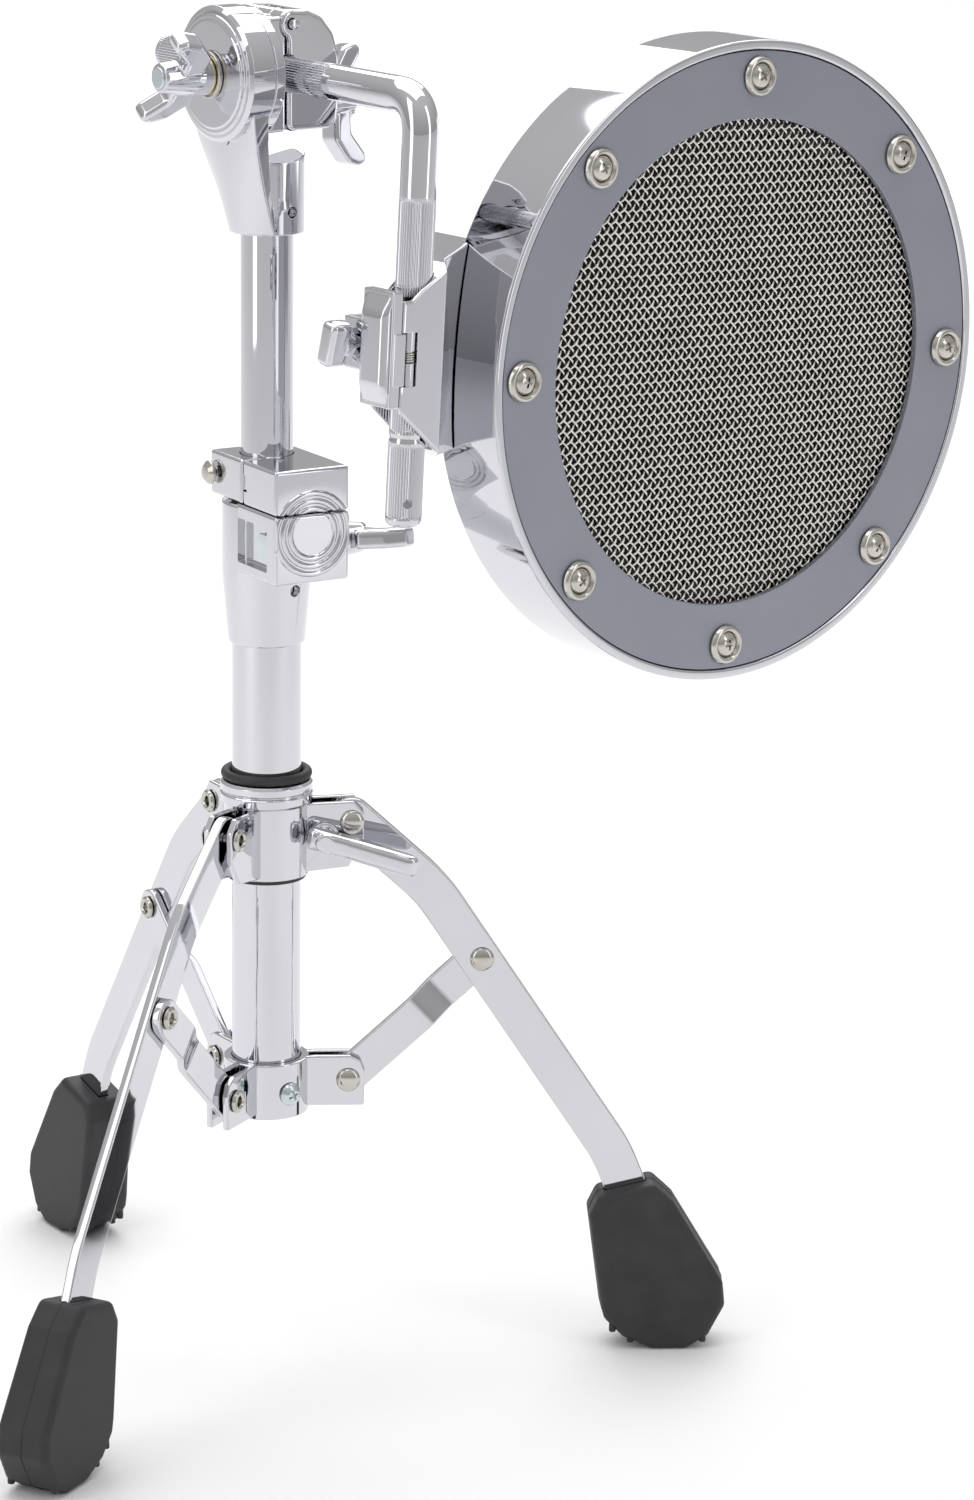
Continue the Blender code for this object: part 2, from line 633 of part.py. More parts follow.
def add_memory_lock(boss):
    low, high = LOCK_Z
    third = (high - low) / 3
    tube_hole_r = UPPER_TUBE_R + GAP
    front = box(
        (LOCK_SEAM_X, -BOSS_HALF_WIDTH, low), (BOSS_REACH, BOSS_HALF_WIDTH, high), 0.0012,
    )
    back = box((LOCK_BACK_X, GAP, low), (LOCK_SEAM_X + 0.004, BOSS_HALF_WIDTH, high), 0.0012)
    join(front, back)
    tongue_room = box(
        (LOCK_SEAM_X - 0.001, -0.0200, low + third - GAP),
        (LOCK_PIN[0], LOCK_PIN[1] + 0.0033, high - third + GAP),
    )
    pin_room = rod(0.0033, low + third - GAP, high - third + GAP)
    screw_room = aim(rod(0.0020, -0.020, 0.0125, 12), (0, 1, 0))
    cut(
        front, rod(tube_hole_r, low - 0.01, high + 0.01, 24), tongue_room,
        moved(pin_room, (*LOCK_PIN, 0.0)), moved(screw_room, (LOCK_SCREW_X, 0.0, LOCK_SCREW_Z)),
    )
    piece(front, "memory_lock_front", boss, "chrome")

    jaw = box(
        (LOCK_BACK_X, -BOSS_HALF_WIDTH, low), (LOCK_SEAM_X - GAP, -GAP, high), 0.0010,
    )
    tongue = box(
        (LOCK_SEAM_X - 0.003, LOCK_PIN[1] - 0.0029, low + third),
        (LOCK_PIN[0], LOCK_PIN[1] + 0.0029, high - third),
    )
    knuckle = moved(rod(0.0029, low + third, high - third), (*LOCK_PIN, 0.0))
    join(jaw, tongue, knuckle)
    screw_hole = aim(rod(0.0020, -0.020, 0.004, 12), (0, 1, 0))
    cut(
        jaw, rod(tube_hole_r, low - 0.01, high + 0.01, 24),
        moved(screw_hole, (LOCK_SCREW_X, 0.0, LOCK_SCREW_Z)),
    )
    piece(jaw, "memory_lock_jaw", boss, "chrome")

    face = BOSS_HALF_WIDTH + JAW_PLAY
    profile = (
        (0.0, face + 0.0028), (0.0026, face + 0.0025), (0.0043, face + 0.0010),
        (0.0043, face), (0.0015, face), (0.0015, -0.0105), (0.0, -0.0105),
    )
    screw = aim(turned(profile, 12), (0, -1, 0))
    piece(screw, "memory_lock_screw", boss, "zinc", (LOCK_SCREW_X, 0.0, LOCK_SCREW_Z))


# ---------------------------------------------------------------- tilter and arm clamp
def add_tilter_base(tilter):
    """The fixed half: a raised disc on a leaning stem, over the collar on the tube."""
    seam = -TILTER_SEAM_Y + GAP / 2
    knee = rectangle((-0.0174, 0.0174), (-0.0168, -seam - 0.0006), -0.0265)
    base = loft_block(
        rectangle((-0.0122, 0.0122), (-0.0065, -0.0040), COLLAR_BOTTOM + 0.0020), knee,
    )
    cheek = loft_block(knee, rectangle((-0.0214, 0.0214), (-0.0206, -seam - 0.0006), -0.0085))
    profile = (
        (0.0, 0.0241), (0.0200, 0.0241), (0.0208, 0.0228), (0.0222, 0.0228),
        (TILTER_DISC_R, 0.0212), (TILTER_DISC_R, seam), (0.0, seam),
    )
    disc = aim(turned(profile, 32), (0, -1, 0), 3.0)
    join(base, cheek, disc, rod(COLLAR_R, COLLAR_BOTTOM, -0.0330, 24))
    tube_bore = aim(rod(UPPER_TUBE_R + GAP, COLLAR_BOTTOM - 0.01, -0.0320, 24), (0, 0, 1), 5.0)
    bolt_hole = aim(rod(0.0041, 0.0, 0.040, 16), (0, -1, 0))
    screw_hole = moved(aim(rod(0.0024, 0.0, 0.030, 12), (1, 0, 0)), (0.0, 0.0, -0.0490))
    cut(base, tube_bore, bolt_hole, screw_hole)
    piece(base, "tilter_base", tilter, "chrome")


def add_tilter_bolt(tilter):
    piece(aim(rod(0.0038, 0.0077, 0.0462), (0, -1, 0)), "tilter_bolt", tilter, "zinc")
    nut = aim(wing_nut(0.0072, 0.0188, 0.040, 0.0200, 0.0042), (0, -1, 0), 50.0)
    piece(nut, "tilter_wing_nut", tilter, "chrome", (0.0, -0.0269, 0.0))


def add_tilter_head(tilter):
    """The turning half: a flat disc, half of the arm's clamp and the hinge's middle knuckle."""
    seam, arm_hole_r, half_x = TILTER_SEAM_Y + GAP / 2, ARM_R + GAP, CLAMP_HALF_X
    pin_y, pin_z = CLAMP_PIN
    head = box((-half_x, -0.0085, -0.0205), (half_x, -0.0004, 0.0200), 0.0015)
    disc = aim(rod(TILTER_DISC_R - 0.0005, seam, -0.0078, 32), (0, 1, 0))
    knuckle = moved(aim(rod(0.0050, -0.0045, 0.0045), (1, 0, 0)), (0.0, pin_y, pin_z))
    pin = moved(aim(rod(0.0017, -0.0150, 0.0150, 12), (1, 0, 0)), (0.0, pin_y, pin_z))
    join(head, disc, knuckle)
    for side in (-1, 1):
        room = aim(rod(0.0053, 0.0048, 0.0200), (side, 0, 0))
        cut(head, moved(room, (0.0, pin_y, pin_z)))
    join(head, pin)
    bolt_hole = aim(rod(0.0041, 0.0073, 0.020), (0, -1, 0))
    clamp_hole = moved(aim(rod(0.0031, -0.0068, 0.020), (0, 1, 0)), (0, 0, CLAMP_BOLT_Z))
    cut(head, aim(rod(arm_hole_r, -0.030, 0.030, 20), (1, 0, 0)), bolt_hole, clamp_hole)
    piece(head, "tilter_head", tilter, "chrome")


def add_arm_clamp(tilter):
    half_x = CLAMP_HALF_X
    pin_y, pin_z = CLAMP_PIN
    knuckle = [
        (pin_y + 0.0050 * cos(radians(a)), pin_z + 0.0050 * sin(radians(a)))
        for a in range(75, 251, 25)
    ]
    face = CLAMP_DEPTH
    outline = [
        (0.0004, 0.0110), (0.0004, -0.0190), (0.0019, -0.0205), (face - 0.0035, -0.0205),
        (face - 0.0010, -0.0185), (face, -0.0120), (face, 0.0050), (face - 0.0025, 0.0130),
        (face - 0.0075, 0.0190), (0.0085, 0.0218),
    ]
    jaw = plate([*outline, *knuckle], 2 * half_x, "YZ")
    add_bevel(jaw, 0.0008, 1, 60.0)
    knuckle_room = moved(aim(rod(0.0054, -0.0048, 0.0048), (1, 0, 0)), (0, pin_y, pin_z))
    pin_hole = moved(aim(rod(0.0020, -0.030, 0.030, 12), (1, 0, 0)), (0, pin_y, pin_z))
    bolt_hole = moved(aim(rod(0.0039, -0.010, 0.030, 12), (0, 1, 0)), (0, 0, CLAMP_BOLT_Z))
    arm_hole = aim(rod(ARM_R + GAP, -0.030, 0.030, 20), (1, 0, 0))
    cut(jaw, arm_hole, knuckle_room, pin_hole, bolt_hole)
    piece(jaw, "arm_clamp_jaw", tilter, "chrome")

    bolt = aim(rod(0.0028, -0.0062, CLAMP_DEPTH + 0.0125, 12), (0, 1, 0))
    piece(bolt, "arm_clamp_bolt", tilter, "zinc", (0.0, 0.0, CLAMP_BOLT_Z))
    nut = aim(wing_nut(0.0062, 0.0120, 0.044, 0.0150, 0.0031), (0, 1, 0), 84.0)
    place = (0.0, CLAMP_DEPTH + JAW_PLAY, CLAMP_BOLT_Z)
    piece(nut, "arm_clamp_wing_nut", tilter, "chrome", place)


def add_arm(arm_frame):
    corners = [
        (ARM_TAIL, 0.0, 0.0), (ARM_REACH, 0.0, 0.0), (ARM_REACH, 0.0, -ARM_DROP),
    ]
    path = rounded_path(corners, ARM_BEND_R, 6)
    piece(wire([tuple(point) for point in path], ARM_R), "l_arm", arm_frame, "chrome")


# ---------------------------------------------------------------- clamp on the rod
def add_body_mount(rod_frame):
    """The cast base behind the round body, with a window in its front wall."""
    rod_hole_r = ARM_R + GAP
    base = box((-0.0090, -0.0105, -0.0200), (0.0082, 0.0060, 0.0200), 0.0008)
    waist = rectangle((-0.0220, 0.0030), 0.0130, (-0.0300, 0.0285))
    neck = loft_block(rectangle((-0.0088, 0.0078), 0.0010, (-0.0197, 0.0194)), waist)
    flare = loft_block(waist, rectangle((-0.0520, -0.0215), 0.0440, (-0.0410, 0.0320)))
    lug = box((-0.0190, -0.0105, -0.0090), (-0.0080, -0.0020, 0.0090))
    join(base, neck, flare, lug)
    groove = rod(rod_hole_r, -0.050, 0.050, 20)
    mouth = box((-rod_hole_r, -0.0150, -0.050), (rod_hole_r, 0.0, 0.050))
    (left, right), (bottom, top) = MOUNT_WINDOW_Y, MOUNT_WINDOW_Z
    window = box((0.0022, left, bottom), (0.0100, right, top))
    bolt_hole = moved(aim(rod(0.0034, -0.020, 0.005, 12), (0, 1, 0)), (MOUNT_BOLT_X, 0.0, 0.0))
    body_room = aim(turned(rear_outline(0.0004), 96), (1, 0, 0))
    moved(body_room, (BODY_FRONT_X, ROD_TO_BODY + BODY_R, BODY_DROP))
    cut(base, groove, mouth, window, bolt_hole, body_room)
    pin_ends = [rod(MOUNT_PIN_R, bottom - 0.0015, -0.0048), rod(MOUNT_PIN_R, -0.0018, top + 0.0015)]
    join(base, *[moved(end, (*MOUNT_PIN, 0.0)) for end in pin_ends])
    piece(base, "mount_base", rod_frame, "chrome")

    jaw = box((-0.0082, -0.0152, -0.0200), (0.0082, -0.0108, 0.0200), 0.0006)
    pillow = loft_block(
        rectangle((-0.0078, 0.0078), -0.0140, (-0.0196, 0.0196)),
        rectangle((-0.0052, 0.0066), -0.0185, (-0.0125, 0.0125)),
    )
    nose = box((-0.0042, -0.0120, -0.0190), (0.0018, -0.0068, 0.0190))
    lug = box((-0.0190, -0.0146, -0.0090), (-0.0070, -0.0110, 0.0090))
    join(jaw, pillow, nose, lug)
    bolt_hole = moved(aim(rod(0.0029, -0.020, -0.005, 12), (0, 1, 0)), (MOUNT_BOLT_X, 0.0, 0.0))
    cut(jaw, bolt_hole)
    piece(jaw, "mount_jaw", rod_frame, "chrome")

    bolt = wing_nut(0.0052, 0.0085, 0.0172, 0.0098)
    join(bolt, rod(0.0023, -0.0130, 0.001, 12))
    aim(bolt, (0, -1, 0), 78.0)
    piece(bolt, "mount_wing_bolt", rod_frame, "chrome", (MOUNT_BOLT_X, -0.0150 - JAW_PLAY, 0.0))


# ---------------------------------------------------------------- round body
def rear_outline(offset=0.0):
    """The outside of the shell and its rear cover, from the front face's middle."""
    rim_r, clear = COVER_RIM_R + offset, BODY_R + offset
    return (
        (0.0, offset), (clear, offset), (clear, -BODY_DEPTH - offset),
        (rim_r, -BODY_DEPTH - offset), (rim_r, COVER_BEND[1]), (COVER_BEND[0], -0.0400 - offset),
        (REAR_FLAT_R, REAR_X - offset), (0.0, REAR_X - offset),
    )


def facing(obj):
    """Turn a shape made about Z so that its Z is the way the body faces."""
    return aim(obj, (1, 0, 0))


def face_screw_places():
    for i in range(FACE_SCREW_COUNT):
        angle = 2 * pi * i / FACE_SCREW_COUNT
        yield FACE_SCREW_CIRCLE_R * cos(angle), FACE_SCREW_CIRCLE_R * sin(angle)


def add_shell(body):
    seat_front, seat_back = -0.0033, -0.0065
    wall_in = BODY_R - 0.0030
    profile = (
        (BODY_R - 0.0010, 0.0), (BODY_R, -0.0012), (BODY_R, -BODY_DEPTH),
        (wall_in, -BODY_DEPTH), (wall_in, seat_back), (0.0982, seat_back),
        (0.0982, seat_front), (PLATE_R + GAP, seat_front), (PLATE_R + GAP, 0.0),
    )
    shell = turned(profile, 64, ring=True)
    screw_holes = plate([circle(0.0021, 8, place) for place in face_screw_places()], 0.020, "XY")
    cut(shell, screw_holes)
    piece(facing(shell), "mic_shell", body, "chrome")

    thickness = 0.0024
    holes = [circle(0.0021, 8, place) for place in face_screw_places()]
    front_plate = plate([circle(PLATE_R, 64), circle(GRILLE_OPENING_R, 64), *holes], thickness, "XY")
    place = (-0.0006 - thickness / 2, 0.0, 0.0)
    piece(facing(front_plate), "front_plate", body, "grey_metal", place)

    piece(facing(rod(0.0978, -0.0042, -0.0033, 64)), "grille_mesh", body, "steel_wire")


def add_face_screws(body):
    """Each screw with its cup washer, as one piece."""
    profile = (
        (0.0, 0.0018), (0.0036, 0.0014), (0.0048, 0.0009), (0.0064, 0.0012),
        (0.0074, -0.0003), (0.0018, -0.0003), (0.0018, -0.0062), (0.0, -0.0062),
    )
    for number, (up, across) in enumerate(face_screw_places(), 1):
        screw = facing(turned(profile, 12))
        piece(screw, f"face_screw_{number}", body, "zinc", (0.0, across, up))


def add_rear_cover(body):
    rim_r, wall = COVER_RIM_R, 0.0020
    profile = (
        (0.0, REAR_X + wall), (REAR_FLAT_R - 0.0006, REAR_X + wall), (0.1068, -0.0384),
        (rim_r - wall, -0.0338), (rim_r - wall, -0.0260), (rim_r, -0.0260),
        (rim_r, -0.0345), (0.1080, -0.0400), (REAR_FLAT_R, REAR_X), (0.0, REAR_X),
    )
    cover = turned(profile, 48)
    cover_hole = rod(0.0109, REAR_X - 0.01, REAR_X + 0.01, 20)
    facing(cover)
    down = cover.rotation_quaternion.inverted() @ Vector((0.0, 0.0, -CONNECTOR_DROP))
    cut(cover, moved(cover_hole, down))
    piece(cover, "rear_cover", body, "aluminium")


def add_driver(body):
    ring = (
        (0.1040, -0.0068), (0.1040, -0.0090), (0.0850, -0.0092), (0.0480, -0.0420),
        (0.0200, -0.0420), (0.0200, -0.0402), (0.0466, -0.0402), (0.0820, -0.0088),
        (0.0820, -0.0068),
    )
    basket = turned(ring, 32, ring=True)
    for quarter in range(4):
        window = box((0.0520, -0.0130, -0.0380), (0.0760, 0.0130, -0.0120))
        window.rotation_euler = (0.0, 0.0, radians(45 + 90 * quarter))
        cut(basket, window)
    piece(facing(basket), "driver_basket", body, "black_plastic")

    cone = (
        (0.0, -0.0296), (0.0190, -0.0296), (0.0694, -0.0098), (0.0740, -0.0070),
        (0.0815, -0.0072), (0.0815, -0.0082), (0.0740, -0.0092), (0.0690, -0.0108),
        (0.0190, -0.0306), (0.0, -0.0306),
    )
    piece(facing(turned(cone, 32)), "driver_cone", body, "paper")

    magnet = (
        (0.0, -0.0345), (0.0155, -0.0345), (0.0155, -0.0423), (0.0370, -0.0423),
        (0.0370, -0.0600), (0.0, -0.0600),
    )
    piece(facing(turned(magnet, 24)), "driver_magnet", body, "ferrite")


def add_connector(body):
    """The three-pin socket in the rear cover: a round flange, a barrel and its pins."""
    back = REAR_X - GAP
    profile = (
        (0.0, back + 0.0160), (0.0105, back + 0.0160), (0.0105, back), (0.0138, back),
        (0.0138, back - 0.0022), (0.0084, back - 0.0022), (0.0084, back + 0.0100),
        (0.0, back + 0.0100),
    )
    socket = turned(profile, 20)
    for angle in (90.0, 210.0, 330.0):
        pin = rod(0.0012, back - 0.0010, back + 0.0120, 8)
        offset = (0.0047 * cos(radians(angle)), 0.0047 * sin(radians(angle)), 0.0)
        join(socket, moved(pin, offset))
    piece(facing(socket), "output_connector", body, "black_plastic", (0, 0, -CONNECTOR_DROP))


# ---------------------------------------------------------------- assembly
def build():
    stand = frame("stand", (COLUMN_X, COLUMN_Y, 0.0))
    slider = frame("leg_hub_slider", parent=stand)
    boss = frame("joint_boss", yaw=BOSS_YAW, parent=stand)
    tilter = frame("tilter", (0.0, 0.0, TILTER_Z), TILTER_YAW, parent=stand)
    arm = frame("arm", roll=ARM_ROLL, parent=tilter)
    rod_frame = frame("rod", (ARM_REACH, 0.0, MOUNT_DROP), BODY_SWIVEL, parent=arm)
    body = frame("body", (BODY_FRONT_X, ROD_TO_BODY + BODY_R, BODY_DROP), parent=rod_frame)

    add_column(stand)
    add_lower_hub(stand)
    add_upper_hub(slider)
    add_hub_wing_bolt(slider)
    add_tripod(stand, slider)
    add_tube_joint(boss)
    add_memory_lock(boss)
    add_tilter_base(tilter)
    add_tilter_bolt(tilter)
    add_tilter_head(tilter)
    add_arm_clamp(tilter)
    add_arm(arm)
    add_body_mount(rod_frame)
    add_shell(body)
    add_face_screws(body)
    add_rear_cover(body)
    add_driver(body)
    add_connector(body)


build()
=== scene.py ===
"""Looks for the low-frequency microphone on its short tripod stand."""

import json
from math import atan2, cos, hypot, pi, radians, sin, sqrt, tan

import bmesh
import bpy
from mathutils import Matrix, Quaternion, Vector

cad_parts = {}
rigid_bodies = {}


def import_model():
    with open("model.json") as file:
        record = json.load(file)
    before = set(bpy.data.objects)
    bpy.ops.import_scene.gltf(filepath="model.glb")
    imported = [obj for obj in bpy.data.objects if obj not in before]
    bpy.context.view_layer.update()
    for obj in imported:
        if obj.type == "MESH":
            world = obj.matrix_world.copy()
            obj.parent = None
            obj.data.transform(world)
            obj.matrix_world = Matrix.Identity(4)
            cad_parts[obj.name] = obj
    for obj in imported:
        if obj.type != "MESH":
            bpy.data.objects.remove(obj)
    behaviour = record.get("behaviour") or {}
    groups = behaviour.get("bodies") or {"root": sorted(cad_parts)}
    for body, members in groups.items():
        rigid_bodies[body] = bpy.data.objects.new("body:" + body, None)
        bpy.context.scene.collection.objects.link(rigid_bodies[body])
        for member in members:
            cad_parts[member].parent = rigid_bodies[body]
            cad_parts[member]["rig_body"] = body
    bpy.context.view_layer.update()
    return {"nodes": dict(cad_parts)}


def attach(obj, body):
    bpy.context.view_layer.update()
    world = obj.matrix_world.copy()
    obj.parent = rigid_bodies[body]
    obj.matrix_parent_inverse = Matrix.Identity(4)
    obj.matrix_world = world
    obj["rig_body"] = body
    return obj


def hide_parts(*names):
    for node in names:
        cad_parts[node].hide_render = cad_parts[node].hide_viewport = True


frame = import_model()
NODES = frame["nodes"]

# -------------------------------- sizes shared with the CAD
GAP, JAW_PLAY = 0.0003, 0.0012
COLUMN_X = -0.0840
LOWER_TUBE_R, LOWER_TUBE_BORE_R, LOWER_TUBE_Z = 0.0127, 0.0111, (0.0950, 0.3210)
UPPER_TUBE_R, UPPER_TUBE_BORE_R, UPPER_TUBE_Z = 0.009525, 0.0080, (0.1700, 0.4460)
LEG_YAWS = (0.0, 120.0, 240.0)
HUB_PIVOT, LOWER_PIVOT, MIDDLE_PIVOT = (0.0312, 0.2050), (0.0303, 0.1055), (0.0796, 0.1513)
LEG_BENDS, LEG_END = ((0.0610, 0.1782), (0.1289, 0.0760)), (0.1394, 0.0500)
LEG_WIDTH, LEG_THICKNESS, LEG_BEND_R = 0.0156, 0.0040, 0.060
BRACE_WIDTH, BRACE_THICKNESS, BRACE_JOGGLE = 0.0136, 0.0030, (0.0370, 0.0470)
RIVET_R, RIVET_HEAD_R, RIVET_HEAD_H = 0.0019, 0.0045, 0.0021
LOWER_HUB_R, LOWER_HUB_Z = 0.0158, (0.0935, 0.1145)
LOWER_EAR_GAP, UPPER_EAR_GAP, EAR_THICKNESS = 0.0044, 0.0070, 0.0024
UPPER_HUB_BORE_R, UPPER_HUB_Z = 0.0149, (0.1850, 0.2205)
WING_BOLT_AT = (0.0213, 0.2000)
FOOT_OUTLINE = (
    (0.1240, 0.0600), (0.1445, 0.0650), (0.1525, 0.0575), (0.1713, 0.0260),
    (0.1722, 0.0170), (0.1660, 0.0050), (0.1580, 0.0), (0.1450, 0.0),
    (0.1338, 0.0048), (0.1268, 0.0120), (0.1255, 0.0170), (0.1205, 0.0525),
)
FOOT_THICKNESS = 0.0216
BOSS_YAW, JOINT_Z = -62.0, (0.2720, 0.3000, 0.3250)
BOSS_REACH, BOSS_HALF_WIDTH = 0.0340, 0.0150
JOINT_BOLT_X, JOINT_BOLT_Z = 0.0225, 0.3120
LOCK_Z, LOCK_SEAM_X, LOCK_BACK_X = (0.3253, 0.3413), 0.0096, -0.0150
LOCK_PIN, LOCK_SCREW_X, LOCK_SCREW_Z = (0.0125, -0.0110), -0.0124, 0.3333
TILTER_Z, TILTER_YAW = 0.4783, -56.0
TILTER_DISC_R, TILTER_SEAM_Y = 0.0238, -0.0121
COLLAR_R, COLLAR_BOTTOM = 0.0134, -0.0570
CLAMP_HALF_X, CLAMP_PIN, CLAMP_BOLT_Z = 0.0125, (0.0020, 0.0172), -0.0145
CLAMP_DEPTH = 0.0225
ARM_R, ARM_ROLL = 0.00635, -2.6
ARM_TAIL, ARM_REACH, ARM_DROP, ARM_BEND_R = -0.0640, 0.0925, 0.1470, 0.0145
MOUNT_DROP, BODY_DROP, BODY_SWIVEL, MOUNT_BOLT_X = -0.0842, -0.0135, 3.0, -0.0142
MOUNT_WINDOW_Y, MOUNT_WINDOW_Z = (-0.0150, -0.0038), (-0.0125, 0.0060)
MOUNT_PIN, MOUNT_PIN_R = (0.0062, -0.0060), 0.0020
BODY_R, BODY_DEPTH, BODY_FRONT_X, ROD_TO_BODY = 0.1158, 0.0319, 0.0112, 0.0295
COVER_RIM_R, COVER_BEND, REAR_FLAT_R, REAR_X = 0.1125, (0.1080, -0.0345), 0.0740, -0.0660
PLATE_R, GRILLE_OPENING_R, FACE_SCREW_CIRCLE_R = 0.1120, 0.0880, 0.1030
CONNECTOR_DROP = 0.0560


# -------------------------------- places
def turn(degrees, axis="Z"):
    return Matrix.Rotation(radians(degrees), 4, axis)


def shift(x=0.0, y=0.0, z=0.0):
    return Matrix.Translation((x, y, z))


def aimed(axis, degrees=0.0):
    """Local Z points along axis, after a turn about that Z."""
    return Vector(axis).to_track_quat("Z", "Y").to_matrix().to_4x4() @ turn(degrees)


def heading(yaw):
    return (cos(radians(yaw)), sin(radians(yaw)), 0.0)


def across(yaw):
    return (-sin(radians(yaw)), cos(radians(yaw)), 0.0)


def around(point, yaw):
    return shift(point[0] * cos(radians(yaw)), point[0] * sin(radians(yaw)), point[1])


STAND = shift(COLUMN_X)
BOSS = STAND @ turn(BOSS_YAW)
TILTER = shift(COLUMN_X, 0.0, TILTER_Z) @ turn(TILTER_YAW)
ARM = TILTER @ turn(ARM_ROLL, "X")
ROD = ARM @ shift(ARM_REACH, 0.0, MOUNT_DROP) @ turn(BODY_SWIVEL)
DISC = ROD @ shift(BODY_FRONT_X, ROD_TO_BODY + BODY_R, BODY_DROP) @ aimed((1, 0, 0))


# -------------------------------- materials
def material(name, low, high, roughness, metallic=0.0, scale=40.0, bump=0.0, bump_scale=400.0):
    """A noise-driven finish: colour and roughness vary between two values, with fine relief
    where bump is given."""
    made = bpy.data.materials.new(name)
    made.use_nodes = True
    tree = made.node_tree
    add, link = tree.nodes.new, tree.links.new
    shader = tree.nodes["Principled BSDF"]
    shader.inputs["Metallic"].default_value = metallic
    where = add("ShaderNodeTexCoord").outputs["Object"]
    noise = add("ShaderNodeTexNoise")
    noise.inputs["Scale"].default_value = scale
    noise.inputs["Detail"].default_value = 5.0
    link(where, noise.inputs["Vector"])
    ramp = add("ShaderNodeValToRGB")
    for element, position, tone in zip(ramp.color_ramp.elements, (0.32, 0.68), (low, high)):
        element.position, element.color = position, (*tone, 1.0)
    link(noise.outputs["Fac"], ramp.inputs["Fac"])
    link(ramp.outputs["Color"], shader.inputs["Base Color"])
    spread = add("ShaderNodeMapRange")
    spread.inputs["To Min"].default_value, spread.inputs["To Max"].default_value = roughness
    link(noise.outputs["Fac"], spread.inputs["Value"])
    link(spread.outputs["Result"], shader.inputs["Roughness"])
    if bump:
        grain = add("ShaderNodeTexNoise")
        grain.inputs["Scale"].default_value = bump_scale
        grain.inputs["Detail"].default_value = 3.0
        relief = add("ShaderNodeBump")
        relief.inputs["Strength"].default_value = bump
        relief.inputs["Distance"].default_value = 0.0004
        link(where, grain.inputs["Vector"])
        link(grain.outputs["Fac"], relief.inputs["Height"])
        link(relief.outputs["Normal"], shader.inputs["Normal"])
    return made


FINISHES = {
    "chrome": ((0.640, 0.640, 0.672), (0.670, 0.670, 0.702), (0.015, 0.05), 1.0, 14.0),
    "nickel": ((0.52, 0.50, 0.46), (0.60, 0.58, 0.54), (0.07, 0.13), 1.0, 60.0),
    "zinc": ((0.60, 0.67, 0.69), (0.70, 0.76, 0.77), (0.16, 0.26), 1.0, 90.0, 0.03, 900.0),
    "brass": ((0.66, 0.58, 0.38), (0.76, 0.68, 0.48), (0.14, 0.24), 1.0, 90.0),
    "grey_metal": ((0.292, 0.300, 0.352), (0.306, 0.314, 0.368), (0.36, 0.42), 0.6, 30.0, 0.03,
                   2600.0),
    "steel_wire": ((0.72, 0.70, 0.66), (0.84, 0.82, 0.78), (0.22, 0.32), 1.0, 90.0, 0.03, 1600.0),
    "aluminium": ((0.62, 0.62, 0.65), (0.72, 0.72, 0.75), (0.24, 0.34), 1.0, 50.0, 0.04, 1200.0),
    "ferrite": ((0.05, 0.05, 0.055), (0.09, 0.09, 0.10), (0.50, 0.65), 0.3, 300.0, 0.15, 900.0),
    "rubber": ((0.018, 0.018, 0.020), (0.030, 0.030, 0.032), (0.50, 0.64), 0.0, 90.0, 0.22,
               1500.0),
    "black_plastic": ((0.012, 0.012, 0.012), (0.022, 0.022, 0.022), (0.34, 0.46), 0.0, 120.0,
                      0.06, 1200.0),
    "paper": ((0.012, 0.012, 0.012), (0.022, 0.022, 0.022), (0.85, 0.95), 0.0, 260.0, 0.20,
              700.0),
}
MATERIALS = {name: material(name, *values) for name, values in FINISHES.items()}


# -------------------------------- shapes
def shape(verts, faces):
    mesh = bpy.data.meshes.new("shape")
    mesh.from_pydata([tuple(v) for v in verts], [], faces)
    return tidy(mesh)


def tidy(mesh, merge=0.0000005):
    bm = bmesh.new()
    bm.from_mesh(mesh)
    bmesh.ops.remove_doubles(bm, verts=bm.verts, dist=merge)
    bmesh.ops.recalc_face_normals(bm, faces=bm.faces)
    bm.to_mesh(mesh)
    bm.free()
    obj = bpy.data.objects.new("shape", mesh)
    bpy.context.scene.collection.objects.link(obj)
    return obj


def discard(obj):
    mesh = obj.data
    bpy.data.objects.remove(obj, do_unlink=True)
    bpy.data.meshes.remove(mesh)


def bake(obj):
    """Apply every modifier."""
    graph = bpy.context.evaluated_depsgraph_get()
    mesh = bpy.data.meshes.new_from_object(obj.evaluated_get(graph), depsgraph=graph)
    old = obj.data
    obj.modifiers.clear()
    obj.data = mesh
    bpy.data.meshes.remove(old)
    return obj


def put(obj, matrix):
    obj.data.transform(matrix)
    return obj


def combine(target, operation, tools):
    for tool in tools:
        boolean = target.modifiers.new("Boolean", "BOOLEAN")
        boolean.operation = operation
        boolean.solver = "EXACT"
        boolean.object = tool
    bake(target)
    for tool in tools:
        discard(tool)
    return target


def join(target, *tools):
    return combine(target, "UNION", tools)


def cut(target, *tools):
    return combine(target, "DIFFERENCE", tools)


def fillet(points, radius, closed=False, steps=4, least=12.0):
    """The points with each real corner rounded."""
    out, count = [], len(points)
    for i, point in enumerate(points):
        here = Vector(point)
        if not closed and i in (0, count - 1):
            out.append(here)
            continue
        before, after = Vector(points[i - 1]) - here, Vector(points[(i + 1) % count]) - here
        bend = (-before).angle(after)
        if bend < radians(least):
            out.append(here)
            continue
        reach = min(radius * tan(bend / 2), 0.48 * before.length, 0.48 * after.length)
        start, end = here + before.normalized() * reach, here + after.normalized() * reach
        for k in range(steps + 1):
            t = k / steps
            out.append((1 - t) ** 2 * start + 2 * t * (1 - t) * here + t * t * end)
    return out


